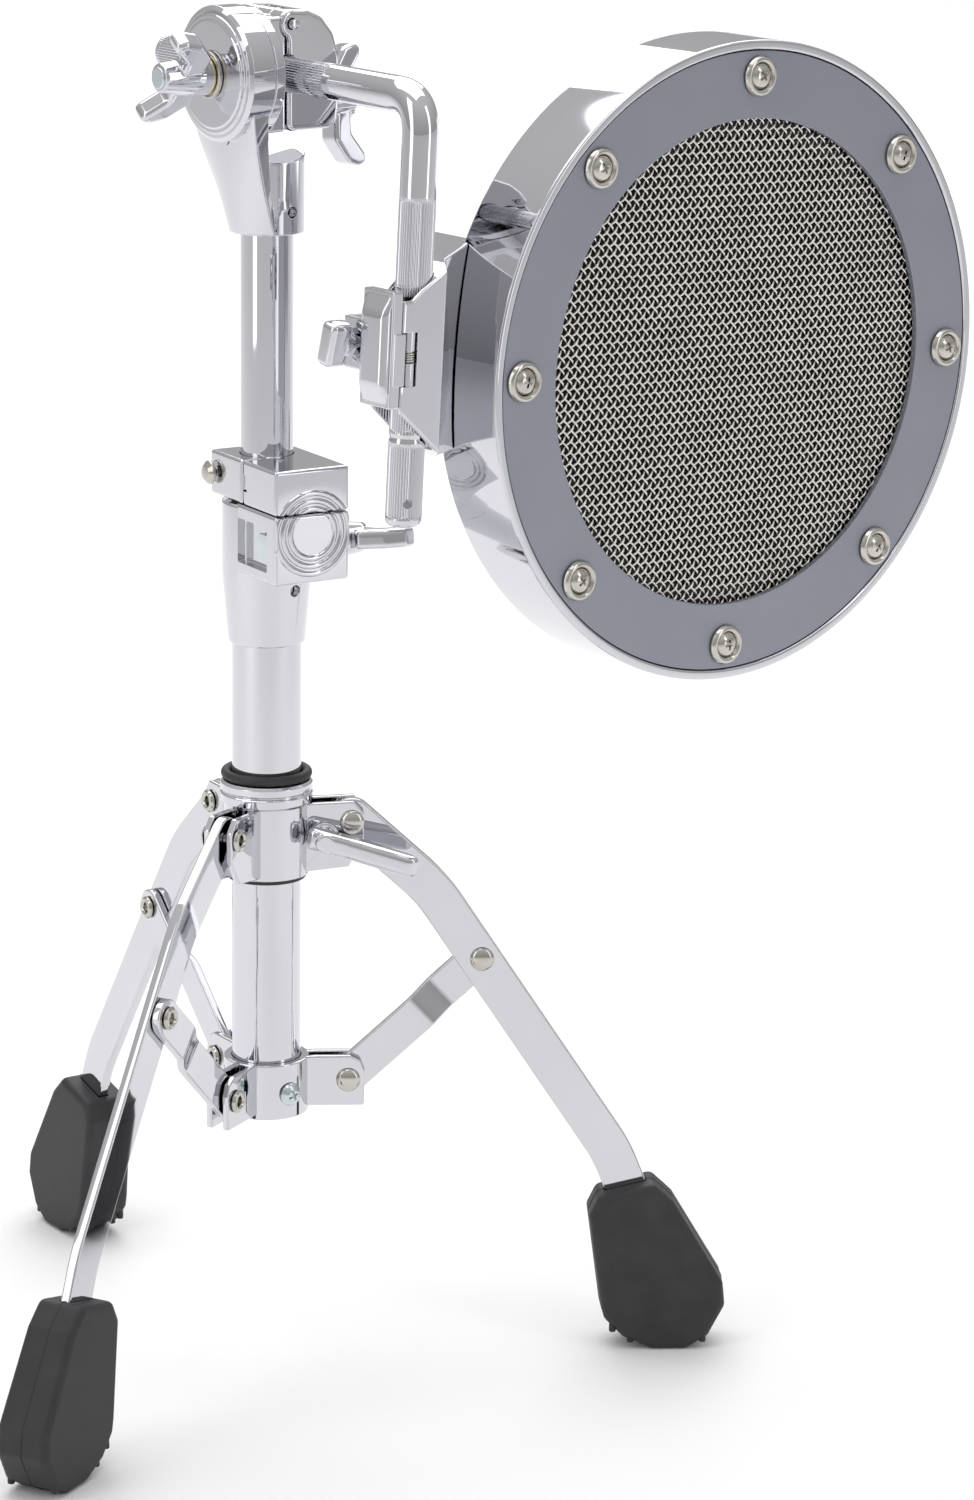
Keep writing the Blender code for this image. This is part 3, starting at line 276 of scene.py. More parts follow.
def skin(pairs, sides):
    """Faces between pairs of rings of vertex numbers; a ring of one number is a point."""
    faces = []
    for low, high in pairs:
        for i in range(sides):
            j = (i + 1) % sides
            quad = [low[i % len(low)], low[j % len(low)], high[j % len(high)], high[i % len(high)]]
            face = list(dict.fromkeys(quad))
            if len(face) > 2:
                faces.append(face)
    return faces


def lathe(profile, steps=96, closed=False):
    """A profile of (radius, height) turned about Z."""
    verts, rings = [], []
    for r, z in profile:
        count = 1 if r < 1e-7 else steps
        rings.append(list(range(len(verts), len(verts) + count)))
        verts += [(r * cos(2 * pi * i / steps), r * sin(2 * pi * i / steps), z)
                  for i in range(count)]
    closing = [(rings[-1], rings[0])] if closed else []
    return shape(verts, skin([*zip(rings, rings[1:]), *closing], steps))


def rod(radius, low, high, steps=48, edge=0.0):
    profile = [(0.0, high), (radius, high), (radius, low), (0.0, low)]
    return lathe(fillet(profile, edge) if edge else profile, steps)


def bore(radius, low, high):
    """A tool that cuts a round hole right through, from below low to above high."""
    return rod(radius, low - 0.01, high + 0.01, 128)


def peg(axis, at, *size):
    """A rod of the given size, laid along an axis from a point."""
    return put(rod(*size), shift(*at) @ aimed(axis))


def sleeve(outer, inner, low, high, steps=96, edge=0.0003):
    profile = [(outer, high), (outer, low), (inner, low), (inner, high)]
    return lathe(fillet(profile, edge, closed=True), steps, closed=True)


def torus(radius, section, steps=96, sides=16, z=0.0):
    profile = [(radius + section * cos(2 * pi * k / sides), z + section * sin(2 * pi * k / sides))
               for k in range(sides)]
    return lathe(profile, steps, closed=True)


def block(low, high, edge=0.0008, segments=3):
    bm = bmesh.new()
    bmesh.ops.create_cube(bm, size=1.0)
    for vert in bm.verts:
        vert.co = [high[i] if vert.co[i] > 0 else low[i] for i in range(3)]
    if edge:
        bmesh.ops.bevel(bm, geom=list(bm.edges), offset=edge, segments=segments, profile=0.5,
                        affect="EDGES")
    mesh = bpy.data.meshes.new("block")
    bm.to_mesh(mesh)
    bm.free()
    return tidy(mesh)


PLANES = {
    "XY": Matrix.Identity(4),
    "XZ": Quaternion((cos(pi / 4), sin(pi / 4), 0.0, 0.0)).to_matrix().to_4x4(),
    "YZ": Quaternion((0.5, 0.5, 0.5, 0.5)).to_matrix().to_4x4(),
}


def slab(outlines, thickness, plane="XZ", edge=0.0005, rounds=2):
    """Flat outlines (the inner ones are holes), extruded, with rounded edges."""
    curve = bpy.data.curves.new("outline", "CURVE")
    curve.dimensions = "2D"
    curve.fill_mode = "BOTH"
    curve.extrude = thickness / 2 - edge
    if edge:
        curve.bevel_depth, curve.bevel_resolution, curve.offset = edge, rounds, -edge
    if not isinstance(outlines[0][0], (tuple, list, Vector)):
        outlines = [outlines]
    for outline in outlines:
        spline = curve.splines.new("POLY")
        spline.points.add(len(outline) - 1)
        for point, (x, y) in zip(spline.points, outline):
            point.co = (x, y, 0.0, 1.0)
        spline.use_cyclic_u = True
    return curve_mesh(curve, PLANES[plane])


def curve_mesh(curve, matrix=Matrix.Identity(4)):
    source = bpy.data.objects.new("curve", curve)
    bpy.context.scene.collection.objects.link(source)
    bpy.context.view_layer.update()
    graph = bpy.context.evaluated_depsgraph_get()
    mesh = bpy.data.meshes.new_from_object(source.evaluated_get(graph))
    mesh.transform(matrix)
    mesh.materials.clear()
    bpy.data.objects.remove(source, do_unlink=True)
    return tidy(mesh, 0.000001)


def circle(radius, steps):
    angles = [2 * pi * (i + 0.5) / steps for i in range(steps)]
    return [(radius * cos(a), radius * sin(a)) for a in angles]


def loft(sections):
    """A closed skin through sections that have the same number of points."""
    count = len(sections[0])
    faces = [tuple(range(count))[::-1]]
    for k in range(len(sections) - 1):
        for i in range(count):
            j = (i + 1) % count
            faces.append((k * count + i, k * count + j, (k + 1) * count + j, (k + 1) * count + i))
    faces.append(tuple(range((len(sections) - 1) * count, len(sections) * count)))
    return shape([point for section in sections for point in section], faces)


def rectangle(x, y, z):
    """Four corners: level where z is one height, upright where y is one depth."""
    if isinstance(z, float):
        return [(x[i], y[j], z) for i, j in ((0, 0), (1, 0), (1, 1), (0, 1))]
    return [(x[i], y, z[j]) for i, j in ((0, 0), (1, 0), (1, 1), (0, 1))]


def soften(obj, width, segments=2, angle=35.0):
    bevel = obj.modifiers.new("Bevel", "BEVEL")
    bevel.width = width
    bevel.segments = segments
    bevel.limit_method = "ANGLE"
    bevel.angle_limit = radians(angle)
    bevel.use_clamp_overlap = False
    return bake(obj)


def melt(obj, voxel=0.0004, rounds=8):
    """A cast look: one skin over the joined solids, with its corners eased."""
    skin = obj.modifiers.new("Remesh", "REMESH")
    skin.mode = "VOXEL"
    skin.voxel_size = voxel
    skin.adaptivity = 0.0
    ease = obj.modifiers.new("Smooth", "SMOOTH")
    ease.factor = 0.5
    ease.iterations = rounds
    return bake(obj)


def show(obj, node, finish, at=STAND, angle=34.0, name=None):
    """Finish a shape, place it and let it stand for its CAD node."""
    put(obj, at)
    obj.data.materials.clear()
    obj.data.materials.append(MATERIALS[finish])
    obj.data.shade_smooth()
    obj.data.set_sharp_from_angle(angle=radians(angle))
    even = obj.modifiers.new("Normals", "WEIGHTED_NORMAL")
    even.keep_sharp = True
    bake(obj)
    obj.name = name or node + ".look"
    obj.data.name = obj.name
    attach(obj, NODES[node]["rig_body"])
    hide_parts(node)
    return obj


def repaint(node, finish):
    """Keep a CAD node and give it a smoother, better finished surface."""
    obj = NODES[node]
    obj.data.materials.clear()
    obj.data.materials.append(MATERIALS[finish])
    weld = obj.modifiers.new("Weld", "WELD")
    weld.merge_threshold = 0.00001
    bevel = obj.modifiers.new("Bevel", "BEVEL")
    bevel.width = 0.0003
    bevel.segments = 2
    bevel.limit_method = "ANGLE"
    bevel.angle_limit = radians(35)
    bevel.harden_normals = True
    obj.data.polygons.foreach_set("use_smooth", [True] * len(obj.data.polygons))


# -------------------------------- column
def add_column():
    low, high = LOWER_TUBE_Z
    show(sleeve(LOWER_TUBE_R, LOWER_TUBE_BORE_R, low, high, 128), "lower_tube", "chrome")
    low, high = UPPER_TUBE_Z
    show(sleeve(UPPER_TUBE_R, UPPER_TUBE_BORE_R, low, high, 128), "upper_tube", "chrome")
    top = LOWER_TUBE_Z[1]
    bore, skirt = UPPER_TUBE_R + GAP, LOWER_TUBE_BORE_R - GAP
    profile = [
        (LOWER_TUBE_R, top + 0.0036), (LOWER_TUBE_R, top + GAP), (skirt, top + GAP),
        (skirt, top - 0.036), (bore, top - 0.036), (bore, top + 0.0036),
    ]
    show(lathe(fillet(profile, 0.0003, True), 96, True), "joint_bushing", "black_plastic")


def ears(outline, gap, yaw):
    offset = gap / 2 + EAR_THICKNESS / 2
    made = []
    for side in (-1, 1):
        ear = slab(fillet(outline, 0.0012, True), EAR_THICKNESS, edge=0.0006)
        made.append(put(ear, turn(yaw) @ shift(0.0, side * offset)))
    return made


def pivot_hole(place, radius, half, yaw=0.0):
    return put(rod(radius, -half, half, 32), around(place, yaw) @ aimed(across(yaw)))


def rivet(low_y, high_y):
    """A rivet along Z: a domed head at the low end, a flared hollow one at the other."""
    head, height = RIVET_HEAD_R, RIVET_HEAD_H
    dome = [(head * sin(a), low_y - height * cos(a)) for a in [pi / 2 * k / 8 for k in range(9)]]
    flare = [
        (RIVET_R, low_y), (RIVET_R, high_y), (0.0041, high_y), (0.0043, high_y + 0.0006),
        (0.0036, high_y + 0.0015), (0.0026, high_y + 0.0016), (0.0019, high_y + 0.0010),
        (0.0016, high_y - 0.0016), (0.0, high_y - 0.0020),
    ]
    return lathe(dome + fillet(flare, 0.0004), 40)


def add_lower_hub():
    low, high = LOWER_HUB_Z
    hub = rod(LOWER_HUB_R, low, high, 128, 0.0006)
    outline = [
        (0.0120, 0.0955), (0.0362, 0.0955), (0.0365, 0.1085), (0.0348, 0.1128),
        (0.0310, 0.1148), (0.0180, 0.1148), (0.0120, 0.1142),
    ]
    for yaw in LEG_YAWS:
        join(hub, *ears(outline, LOWER_EAR_GAP, yaw))
    axis = heading(-57.0)
    cut(
        hub, bore(LOWER_TUBE_R + GAP, low, high),
        peg(axis, (0.0, 0.0, 0.1030), 0.0023, 0.010, 0.020, 32),
        *[pivot_hole(LOWER_PIVOT, RIVET_R + GAP, 0.010, yaw) for yaw in LEG_YAWS],
    )
    show(soften(hub, 0.0002), "lower_hub", "chrome")
    head = LOWER_HUB_R + GAP
    profile = [
        (0.0, head + 0.0028), (0.0022, head + 0.0025), (0.0037, head + 0.0014),
        (0.0044, head + 0.0004), (0.0043, head), (0.0020, head), (0.0020, 0.0133), (0.0, 0.0133),
    ]
    screw = lathe(fillet(profile, 0.0006, steps=3), 48)
    show(phillips(screw, head + 0.0028, 0.0030), "lower_hub_screw", "zinc",
         STAND @ shift(z=0.1030) @ aimed(axis, 20.0))


CROSS_DEPTH = 0.0014


def phillips(screw, top, reach):
    """Cut a cross recess whose blades taper inward."""
    for angle in (0.0, 90.0):
        wide = rectangle((-reach, reach), (-0.00048, 0.00048), top + 0.0004)
        deep = rectangle((-0.35 * reach, 0.35 * reach), (-0.00036, 0.00036), top - CROSS_DEPTH)
        cut(screw, put(loft([deep, wide]), turn(angle)))
    return screw


def add_upper_hub():
    low, high = UPPER_HUB_Z
    groove = high - 0.0042
    profile = [
        (UPPER_HUB_BORE_R, high), (0.0162, high), (0.0170, high - 0.0010),
        (0.0170, groove + 0.0008), (0.0161, groove), (0.0170, groove - 0.0008),
        (0.0170, high - 0.0078), (0.0158, high - 0.0088), (0.0158, low),
        (UPPER_HUB_BORE_R, low),
    ]
    hub = lathe(fillet(profile, 0.0004, True), 128, True)
    outline = [
        (0.0120, 0.1858), (0.0300, 0.1880), (0.0356, 0.1975), (0.0356, 0.2082),
        (0.0318, 0.2128), (0.0120, 0.2118),
    ]
    for yaw in LEG_YAWS:
        join(hub, *ears(outline, UPPER_EAR_GAP, yaw))
    cut(
        hub, bore(UPPER_HUB_BORE_R, low, high),
        pivot_hole(WING_BOLT_AT, 0.0029, 0.012),
        *[pivot_hole(HUB_PIVOT, RIVET_R + GAP, 0.012, yaw) for yaw in LEG_YAWS],
    )
    show(soften(hub, 0.0002), "upper_hub", "chrome")
    bushing = sleeve(UPPER_HUB_BORE_R - GAP, LOWER_TUBE_R + GAP, low - 0.0016, high - 0.001)
    show(bushing, "hub_bushing", "black_plastic")
    show(torus(0.0149, 0.0018, z=high + GAP + 0.0018), "hub_o_ring", "rubber")


def add_hub_wing_bolt():
    face = UPPER_EAR_GAP / 2 + EAR_THICKNESS + GAP
    profile = [
        (0.0, face + 0.0120), (0.0034, face + 0.0120), (0.0040, face + 0.0018),
        (0.0052, face + 0.0016), (0.0052, face), (0.0026, face), (0.0026, -0.0085),
        (0.0, -0.0085),
    ]
    bolt = lathe(profile, 64)
    wing = slab(fillet([
        (-0.0070, face + 0.0040), (0.0080, face + 0.0035), (0.0330, face + 0.0110),
        (0.0350, face + 0.0150), (0.0320, face + 0.0175), (0.0080, face + 0.0125),
        (-0.0070, face + 0.0105),
    ], 0.004, True), 0.0080, edge=0.0022, rounds=3)
    join(bolt, wing)
    at = STAND @ shift(WING_BOLT_AT[0], 0.0, WING_BOLT_AT[1]) @ aimed((0, -1, 0)) @ turn(-14)
    show(melt(bolt, 0.00032), "hub_wing_bolt", "chrome", at, 60.0)


# -------------------------------- legs, braces and feet
def relative(point, origin):
    return (point[0] - origin[0], point[1] - origin[1])


def strap(path, width, round_end=False):
    """The outline of a flat strip along a path, rounded at its start and, if asked, its end."""
    half, cap_steps = width / 2, 16
    left, right = [], []
    for i, point in enumerate(path):
        ahead = (path[min(i + 1, len(path) - 1)] - path[max(i - 1, 0)]).normalized()
        side = Vector((-ahead.y, ahead.x)) * half
        left.append(point + side)
        right.append(point - side)

    def cap(centre, first):
        start = atan2(first.y - centre.y, first.x - centre.x)
        angles = [start + pi * i / cap_steps for i in range(1, cap_steps)]
        return [centre + Vector((cos(a), sin(a))) * half for a in angles]

    outline = left[::-1] + cap(path[0], left[0]) + right
    if round_end:
        outline += cap(path[-1], right[-1])
    return [tuple(point) for point in outline]


def add_leg(number, at):
    corners = [Vector(relative(p, HUB_PIVOT)) for p in (HUB_PIVOT, *LEG_BENDS, LEG_END)]
    path = [corners[0]]
    for before, corner, after in zip(corners, corners[1:], corners[2:]):
        into, out = (corner - before).normalized(), (after - corner).normalized()
        bend = into.angle(out)
        reach = LEG_BEND_R * (1 - cos(bend)) / sin(bend)
        start, end = corner - into * reach, corner + out * reach
        for i in range(13):
            t = i / 12
            path.append((1 - t) ** 2 * start + 2 * t * (1 - t) * corner + t * t * end)
    path.append(corners[-1])
    leg = slab(strap(path, LEG_WIDTH), LEG_THICKNESS, edge=0.0008, rounds=3)
    middle = relative(MIDDLE_PIVOT, HUB_PIVOT)
    cut(leg, *[pivot_hole(place, RIVET_R + GAP, 0.004) for place in ((0.0, 0.0), middle)])
    show(leg, f"leg_{number}", "chrome", at)
    side = LEG_THICKNESS / 2 + GAP + BRACE_THICKNESS
    pin = rivet(-LEG_THICKNESS / 2 - GAP, side + GAP)
    show(pin, f"middle_rivet_{number}", "nickel",
         at @ shift(middle[0], 0.0, middle[1]) @ aimed((0, 1, 0)))


def add_foot(number, at):
    """A moulded rubber foot: tapered, with a parting ridge and studs round its tread."""
    outline = fillet([relative(point, HUB_PIVOT) for point in FOOT_OUTLINE], 0.0035, True)
    foot = slab(outline, FOOT_THICKNESS, edge=0.0030, rounds=4)
    centre = Vector((sum(p[0] for p in outline), sum(p[1] for p in outline))) / len(outline)
    ridge = [Vector(p) + (Vector(p) - centre).normalized() * 0.00025 for p in outline]
    top, bottom = 0.0600 - HUB_PIVOT[1], -HUB_PIVOT[1]
    ridge = [(p.x, max(p.y, bottom)) for p in ridge]
    join(foot, slab(ridge, 0.0008, edge=0.0002, rounds=1))
    studs = []
    for side in (-1, 1):
        for k in range(6):
            x = 0.1300 + 0.0068 * k - HUB_PIVOT[0]
            low = bottom + (0.0068 if k == 0 else 0.0026 if k in (1, 5) else 0.0012)
            stud = rod(0.0013, 0.0, 0.0042, 16, 0.0008)
            studs.append(put(stud, shift(x, side * (FOOT_THICKNESS / 2 - 0.0021), low)))
    join(foot, *studs)
    for vert in foot.data.vertices:
        level = (vert.co.z - bottom) / (top - bottom)
        vert.co.y *= 1.035 - 0.15 * level
    last_bend, end = LEG_BENDS[-1], LEG_END
    lean = atan2(end[0] - last_bend[0], last_bend[1] - end[1])
    half = (LEG_WIDTH / 2 + GAP, LEG_THICKNESS / 2 + GAP)
    pocket = block((-half[0], -half[1], -GAP), (half[0], half[1], 0.040), 0.0)
    place = relative(end, HUB_PIVOT)
    cut(foot, put(pocket, shift(place[0], 0.0, place[1]) @ turn(-lean * 180 / pi, "Y")))
    show(foot, f"foot_{number}", "rubber", at, 50.0)


def add_brace(number, at):
    run = relative(MIDDLE_PIVOT, LOWER_PIVOT)
    length, rise = hypot(*run), atan2(run[1], run[0])
    outline = strap([Vector((0, 0)), Vector((length, 0))], BRACE_WIDTH, True)
    step = LEG_THICKNESS / 2 + GAP + BRACE_THICKNESS / 2
    first, last = BRACE_JOGGLE

    def drift(x):
        t = min(max((x - first + 0.002) / (last - first + 0.004), 0.0), 1.0)
        return step * t * t * (3 - 2 * t)

    fine = []
    for a, b in zip(outline, outline[1:] + outline[:1]):
        count = max(1, int(abs(b[0] - a[0]) / 0.0012))
        fine += [(a[0] + (b[0] - a[0]) * k / count, a[1] + (b[1] - a[1]) * k / count)
                 for k in range(count)]
    brace = slab(fine, BRACE_THICKNESS, edge=0.0006)
    bm = bmesh.new()
    bm.from_mesh(brace.data)
    for k in range(1, int(length / 0.0012)):
        bmesh.ops.bisect_plane(bm, geom=bm.verts[:] + bm.edges[:] + bm.faces[:],
                               plane_co=(0.0012 * k, 0, 0), plane_no=(1, 0, 0))
    bm.to_mesh(brace.data)
    bm.free()
    for vert in brace.data.vertices:
        vert.co.y += drift(vert.co.x)
    cut(brace, pivot_hole((0.0, 0.0), RIVET_R + GAP, 0.012))
    show(brace, f"brace_{number}", "chrome", at @ turn(-rise * 180 / pi, "Y"))


def add_tripod():
    for index, yaw in enumerate(LEG_YAWS):
        number = index + 1
        at = STAND @ around(HUB_PIVOT, yaw) @ turn(yaw)
        add_leg(number, at)
        add_foot(number, at)
        add_brace(number, STAND @ around(LOWER_PIVOT, yaw) @ turn(yaw))
        for name, point, gap in (
            ("hub_rivet", HUB_PIVOT, UPPER_EAR_GAP), ("lower_rivet", LOWER_PIVOT, LOWER_EAR_GAP),
        ):
            reach = gap / 2 + EAR_THICKNESS + GAP
            show(rivet(-reach, reach), f"{name}_{number}", "nickel",
                 STAND @ around(point, yaw) @ aimed(across(yaw)))


# -------------------------------- tube joint and memory lock
RING_CENTRE_Z, RING_RADII = 0.3180, (0.0146, 0.0118, 0.0090)


def ornament(low, high):
    """The concentric raised rings, kept to one block's face between two heights."""
    rings = [put(torus(r, 0.0011, 96, 16), shift(BOSS_REACH - 0.0003, 0.0, RING_CENTRE_Z)
                 @ aimed((1, 0, 0))) for r in RING_RADII]
    keep = block((BOSS_REACH - 0.004, -BOSS_HALF_WIDTH + 0.0004, low + 0.0003),
                 (BOSS_REACH + 0.004, BOSS_HALF_WIDTH - 0.0004, high - 0.0003), 0.0)
    first = rings[0]
    join(first, *rings[1:])
    return combine(first, "INTERSECT", [keep])


def add_tube_joint():
    low, shoulder, high = JOINT_Z
    top = high - 0.0005
    joint = lathe(fillet([
        (0.0, top), (0.0163, top), (0.0163, shoulder - 0.002), (0.0140, low), (0.0, low),
    ], 0.0012, steps=6), 128)
    bulk = block((0.004, -BOSS_HALF_WIDTH, shoulder), (BOSS_REACH, BOSS_HALF_WIDTH, high),
                 0.0012, 4)
    join(joint, bulk, ornament(shoulder, high))
    recess = block(
        (0.0060, -0.0200, shoulder + 0.0040),
        (0.0275, -BOSS_HALF_WIDTH + 0.0032, high - 0.0050), 0.0006,
    )
    bolt_way = peg((0, 1, 0), (JOINT_BOLT_X, 0.0, JOINT_BOLT_Z), 0.0033, -0.020, 0.020)
    set_screw = peg(heading(12.0), (0.0, 0.0, 0.2930), 0.0021, 0.0100, 0.0200, 32)
    cut(joint, bore(LOWER_TUBE_R + GAP, low, high), recess, bolt_way, set_screw)
    show(soften(joint, 0.00022), "tube_joint", "chrome", BOSS)

    floor = BOSS_HALF_WIDTH - 0.0032 + GAP
    profile = [(0.0, floor + 0.0016), (0.0056, floor + 0.0016), (0.0056, floor), (0.0030, floor),
               (0.0030, -0.0270), (0.0, -0.0270)]
    bolt = soften(lathe(profile, 6), 0.0003)
    show(bolt, "joint_bolt", "zinc", BOSS @ shift(JOINT_BOLT_X, 0.0, JOINT_BOLT_Z)
         @ aimed((0, -1, 0)))
    nut = wing_nut(0.0068, 0.0110, 0.040, 0.0230, broad=1.05)
    show(nut, "joint_wing_nut", "chrome",
         BOSS @ shift(JOINT_BOLT_X, BOSS_HALF_WIDTH + GAP, JOINT_BOLT_Z) @ aimed((0, 1, 0), -8.0),
         60.0)


def wing_nut(hub_r, hub_height, span, rise, end_r=None, flutes=0, broad=0.66):
    """A cast wing nut that sits on z = 0, with two wings that lean outward."""
    end_r = end_r or 0.80 * hub_r
    profile = [(0.0, hub_height), (0.92 * end_r, hub_height), (end_r, hub_height - 0.0006),
               (0.94 * hub_r, 0.30 * hub_height), (hub_r, 0.0), (0.0, 0.0)]
    nut = lathe(profile, 64 if not flutes else 12 * flutes)
    for vert in nut.data.vertices if flutes else ():
        r = hypot(vert.co.x, vert.co.y)
        if r > 0.5 * hub_r:
            scale = 1 - 0.05 * (1 - cos(flutes * atan2(vert.co.y, vert.co.x)))
            vert.co.x, vert.co.y = vert.co.x * scale, vert.co.y * scale
    inner, tip = 0.40 * hub_r, span / 2
    side = [(inner, 0.15), (0.55 * tip, 0.12), (0.92 * tip, 0.48), (tip, 0.80),
            (0.93 * tip, 1.0), (0.78 * tip, 0.97), (0.45 * tip, 0.62), (inner, 0.62)]
    side = [(x, rise * z) for x, z in side]
    both = fillet([*side, *[(-x, z) for x, z in side[::-1]]], 0.003, True)
    wings = slab(both, broad * hub_r, edge=0.26 * hub_r, rounds=3)
    return melt(join(nut, wings), 0.00035, 6)


def add_memory_lock():
    low, high = LOCK_Z
    third = (high - low) / 3
    hole_r = UPPER_TUBE_R + GAP
    front = block((LOCK_SEAM_X, -BOSS_HALF_WIDTH, low), (BOSS_REACH, BOSS_HALF_WIDTH, high),
                  0.0012, 4)
    back = block((LOCK_BACK_X, GAP, low), (LOCK_SEAM_X + 0.004, BOSS_HALF_WIDTH, high), 0.0012, 4)
    join(front, back, ornament(low, high))
    tongue_room = block(
        (LOCK_SEAM_X - 0.001, -0.0200, low + third - GAP),
        (LOCK_PIN[0], LOCK_PIN[1] + 0.0033, high - third + GAP), 0.0,
    )
    cut(
        front, bore(hole_r, low, high), tongue_room,
        put(rod(0.0033, low + third - GAP, high - third + GAP), shift(*LOCK_PIN)),
        peg((0, 1, 0), (LOCK_SCREW_X, 0.0, LOCK_SCREW_Z), 0.0020, -0.020, 0.0125),
    )
    show(soften(front, 0.00022), "memory_lock_front", "chrome", BOSS)
    seam = 0.0011
    jaw = block((LOCK_BACK_X, -BOSS_HALF_WIDTH, low), (LOCK_SEAM_X - seam, -GAP, high), 0.0012, 4)
    tongue = block(
        (LOCK_SEAM_X - 0.003, LOCK_PIN[1] - 0.0029, low + third),
        (LOCK_PIN[0], LOCK_PIN[1] + 0.0029, high - third), 0.0,
    )
    join(jaw, tongue, put(rod(0.0029, low + third, high - third), shift(*LOCK_PIN)))
    cut(
        jaw, bore(hole_r, low, high),
        peg((0, 1, 0), (LOCK_SCREW_X, 0.0, LOCK_SCREW_Z), 0.0020, -0.020, 0.004),
    )
    show(soften(jaw, 0.00022), "memory_lock_jaw", "chrome", BOSS)
    face = BOSS_HALF_WIDTH + JAW_PLAY
    profile = [
        (0.0, face + 0.0028), (0.0026, face + 0.0025), (0.0043, face + 0.0010),
        (0.0043, face), (0.0015, face), (0.0015, -0.0105), (0.0, -0.0105),
    ]
    screw = lathe(fillet(profile, 0.0005), 48)
    show(screw, "memory_lock_screw", "nickel", BOSS @ shift(LOCK_SCREW_X, 0.0, LOCK_SCREW_Z)
         @ aimed((0, -1, 0)))


# -------------------------------- tilter and arm clamp
STEM_TOP, STEM_HALF_X, STEM_FRONT_Y, STEM_ARC = -0.0060, 0.0214, -0.0206, (200.0, 340.0)


def tilter_stem(back_y):
    """A flat blade under the disc that tapers down and wraps round the collar."""
    sections, rows, columns = [], 32, 32
    for k in range(rows + 1):
        t = k / rows
        ease = t ** 1.5
        z = STEM_TOP + (COLLAR_BOTTOM - STEM_TOP) * t
        section = []
        for i in range(columns + 1):
            s = i / columns
            a = radians(STEM_ARC[0] + (STEM_ARC[1] - STEM_ARC[0]) * s)
            x, y = STEM_HALF_X * (2 * s - 1), STEM_FRONT_Y
            section.append((x + (COLLAR_R * cos(a) - x) * t, y + (COLLAR_R * sin(a) - y) * ease, z))
        for side in (1, -1):
            x = side * (STEM_HALF_X + (0.0104 - STEM_HALF_X) * t)
            section.append((x, back_y + (-0.0030 - back_y) * ease, z))
        sections.append(section)
    return loft(sections)


def add_tilter_base():
    seam = -TILTER_SEAM_Y + GAP / 2
    stem = soften(tilter_stem(-seam - 0.0006), 0.0009, 3, 40.0)
    profile = [
        (0.0, 0.0241), (0.0186, 0.0241), (0.0192, 0.0236), (0.0206, 0.0236), (0.0210, 0.0229),
        (0.0224, 0.0228), (TILTER_DISC_R, 0.0216), (TILTER_DISC_R, seam), (0.0, seam),
    ]
    disc = put(lathe(fillet(profile, 0.0005, steps=3), 160), aimed((0, -1, 0), 3.0))
    collar = rod(COLLAR_R, COLLAR_BOTTOM, -0.0250, 128, 0.0006)
    to_camera = Vector(heading(-34.0))
    slant = Vector((0.0, 0.0, cos(radians(10.0)))) + to_camera * sin(radians(10.0))
    cut(collar, put(block((-0.030, -0.030, 0.0), (0.030, 0.030, 0.020), 0.0),
                    shift(z=-0.0290) @ aimed(slant)))
    base = join(soften(collar, 0.0007, 3), stem, disc)
    cut(
        base, put(rod(UPPER_TUBE_R + GAP, COLLAR_BOTTOM - 0.01, -0.0320, 128), turn(5.0)),
        peg((0, -1, 0), (), 0.0041, 0.0, 0.040),
        peg(heading(8.0), (0.0, 0.0, -0.0490), 0.0021, 0.0, 0.030, 32),
    )
    show(soften(base, 0.0002), "tilter_base", "chrome", TILTER)


def add_tilter_bolt():
    bolt = peg((0, -1, 0), (), 0.0038, 0.0077, 0.0462, 48, 0.0005)
    show(bolt, "tilter_bolt", "zinc", TILTER)
    at = TILTER @ shift(y=-0.0269) @ aimed((0, -1, 0), 50.0)
    nut = wing_nut(0.0070, 0.0186, 0.040, 0.0200, end_r=0.0052, broad=1.10)
    show(nut, "tilter_wing_nut", "chrome", at, 60.0)
    washer = sleeve(0.0084, 0.0045, -0.0026, -0.0010, 96, 0.0005)
    show(washer, "tilter_wing_nut", "nickel", at, name="tilter_washer")
    ring = sleeve(0.0070, 0.0045, -0.0008, 0.0004, 96, 0.0004)
    show(ring, "tilter_wing_nut", "brass", at, name="tilter_brass_washer")


def add_tilter_head():
    seam, half_x = TILTER_SEAM_Y + GAP / 2, CLAMP_HALF_X
    pin_y, pin_z = CLAMP_PIN
    head = block((-half_x, -0.0085, -0.0205), (half_x, -0.0004, 0.0200), 0.0015, 4)
    disc = peg((0, 1, 0), (), TILTER_DISC_R - 0.0005, seam, -0.0078, 160, 0.0006)
    knuckle = peg((1, 0, 0), (0, pin_y, pin_z), 0.0050, -0.0045, 0.0045, 64, 0.0005)
    join(head, disc, knuckle)
    rooms = [peg((side, 0, 0), (0, pin_y, pin_z), 0.0053, 0.0048, 0.0200, 64)
             for side in (-1, 1)]
    cut(head, *rooms)
    join(head, peg((1, 0, 0), (0, pin_y, pin_z), 0.0017, -0.0150, 0.0150, 40))
    cut(
        head, peg((1, 0, 0), (), ARM_R + GAP, -0.030, 0.030, 96),
        peg((0, -1, 0), (), 0.0041, 0.0073, 0.020),
        peg((0, 1, 0), (0, 0, CLAMP_BOLT_Z), 0.0031, -0.0068, 0.020),
    )
    show(soften(head, 0.00025), "tilter_head", "chrome", TILTER)


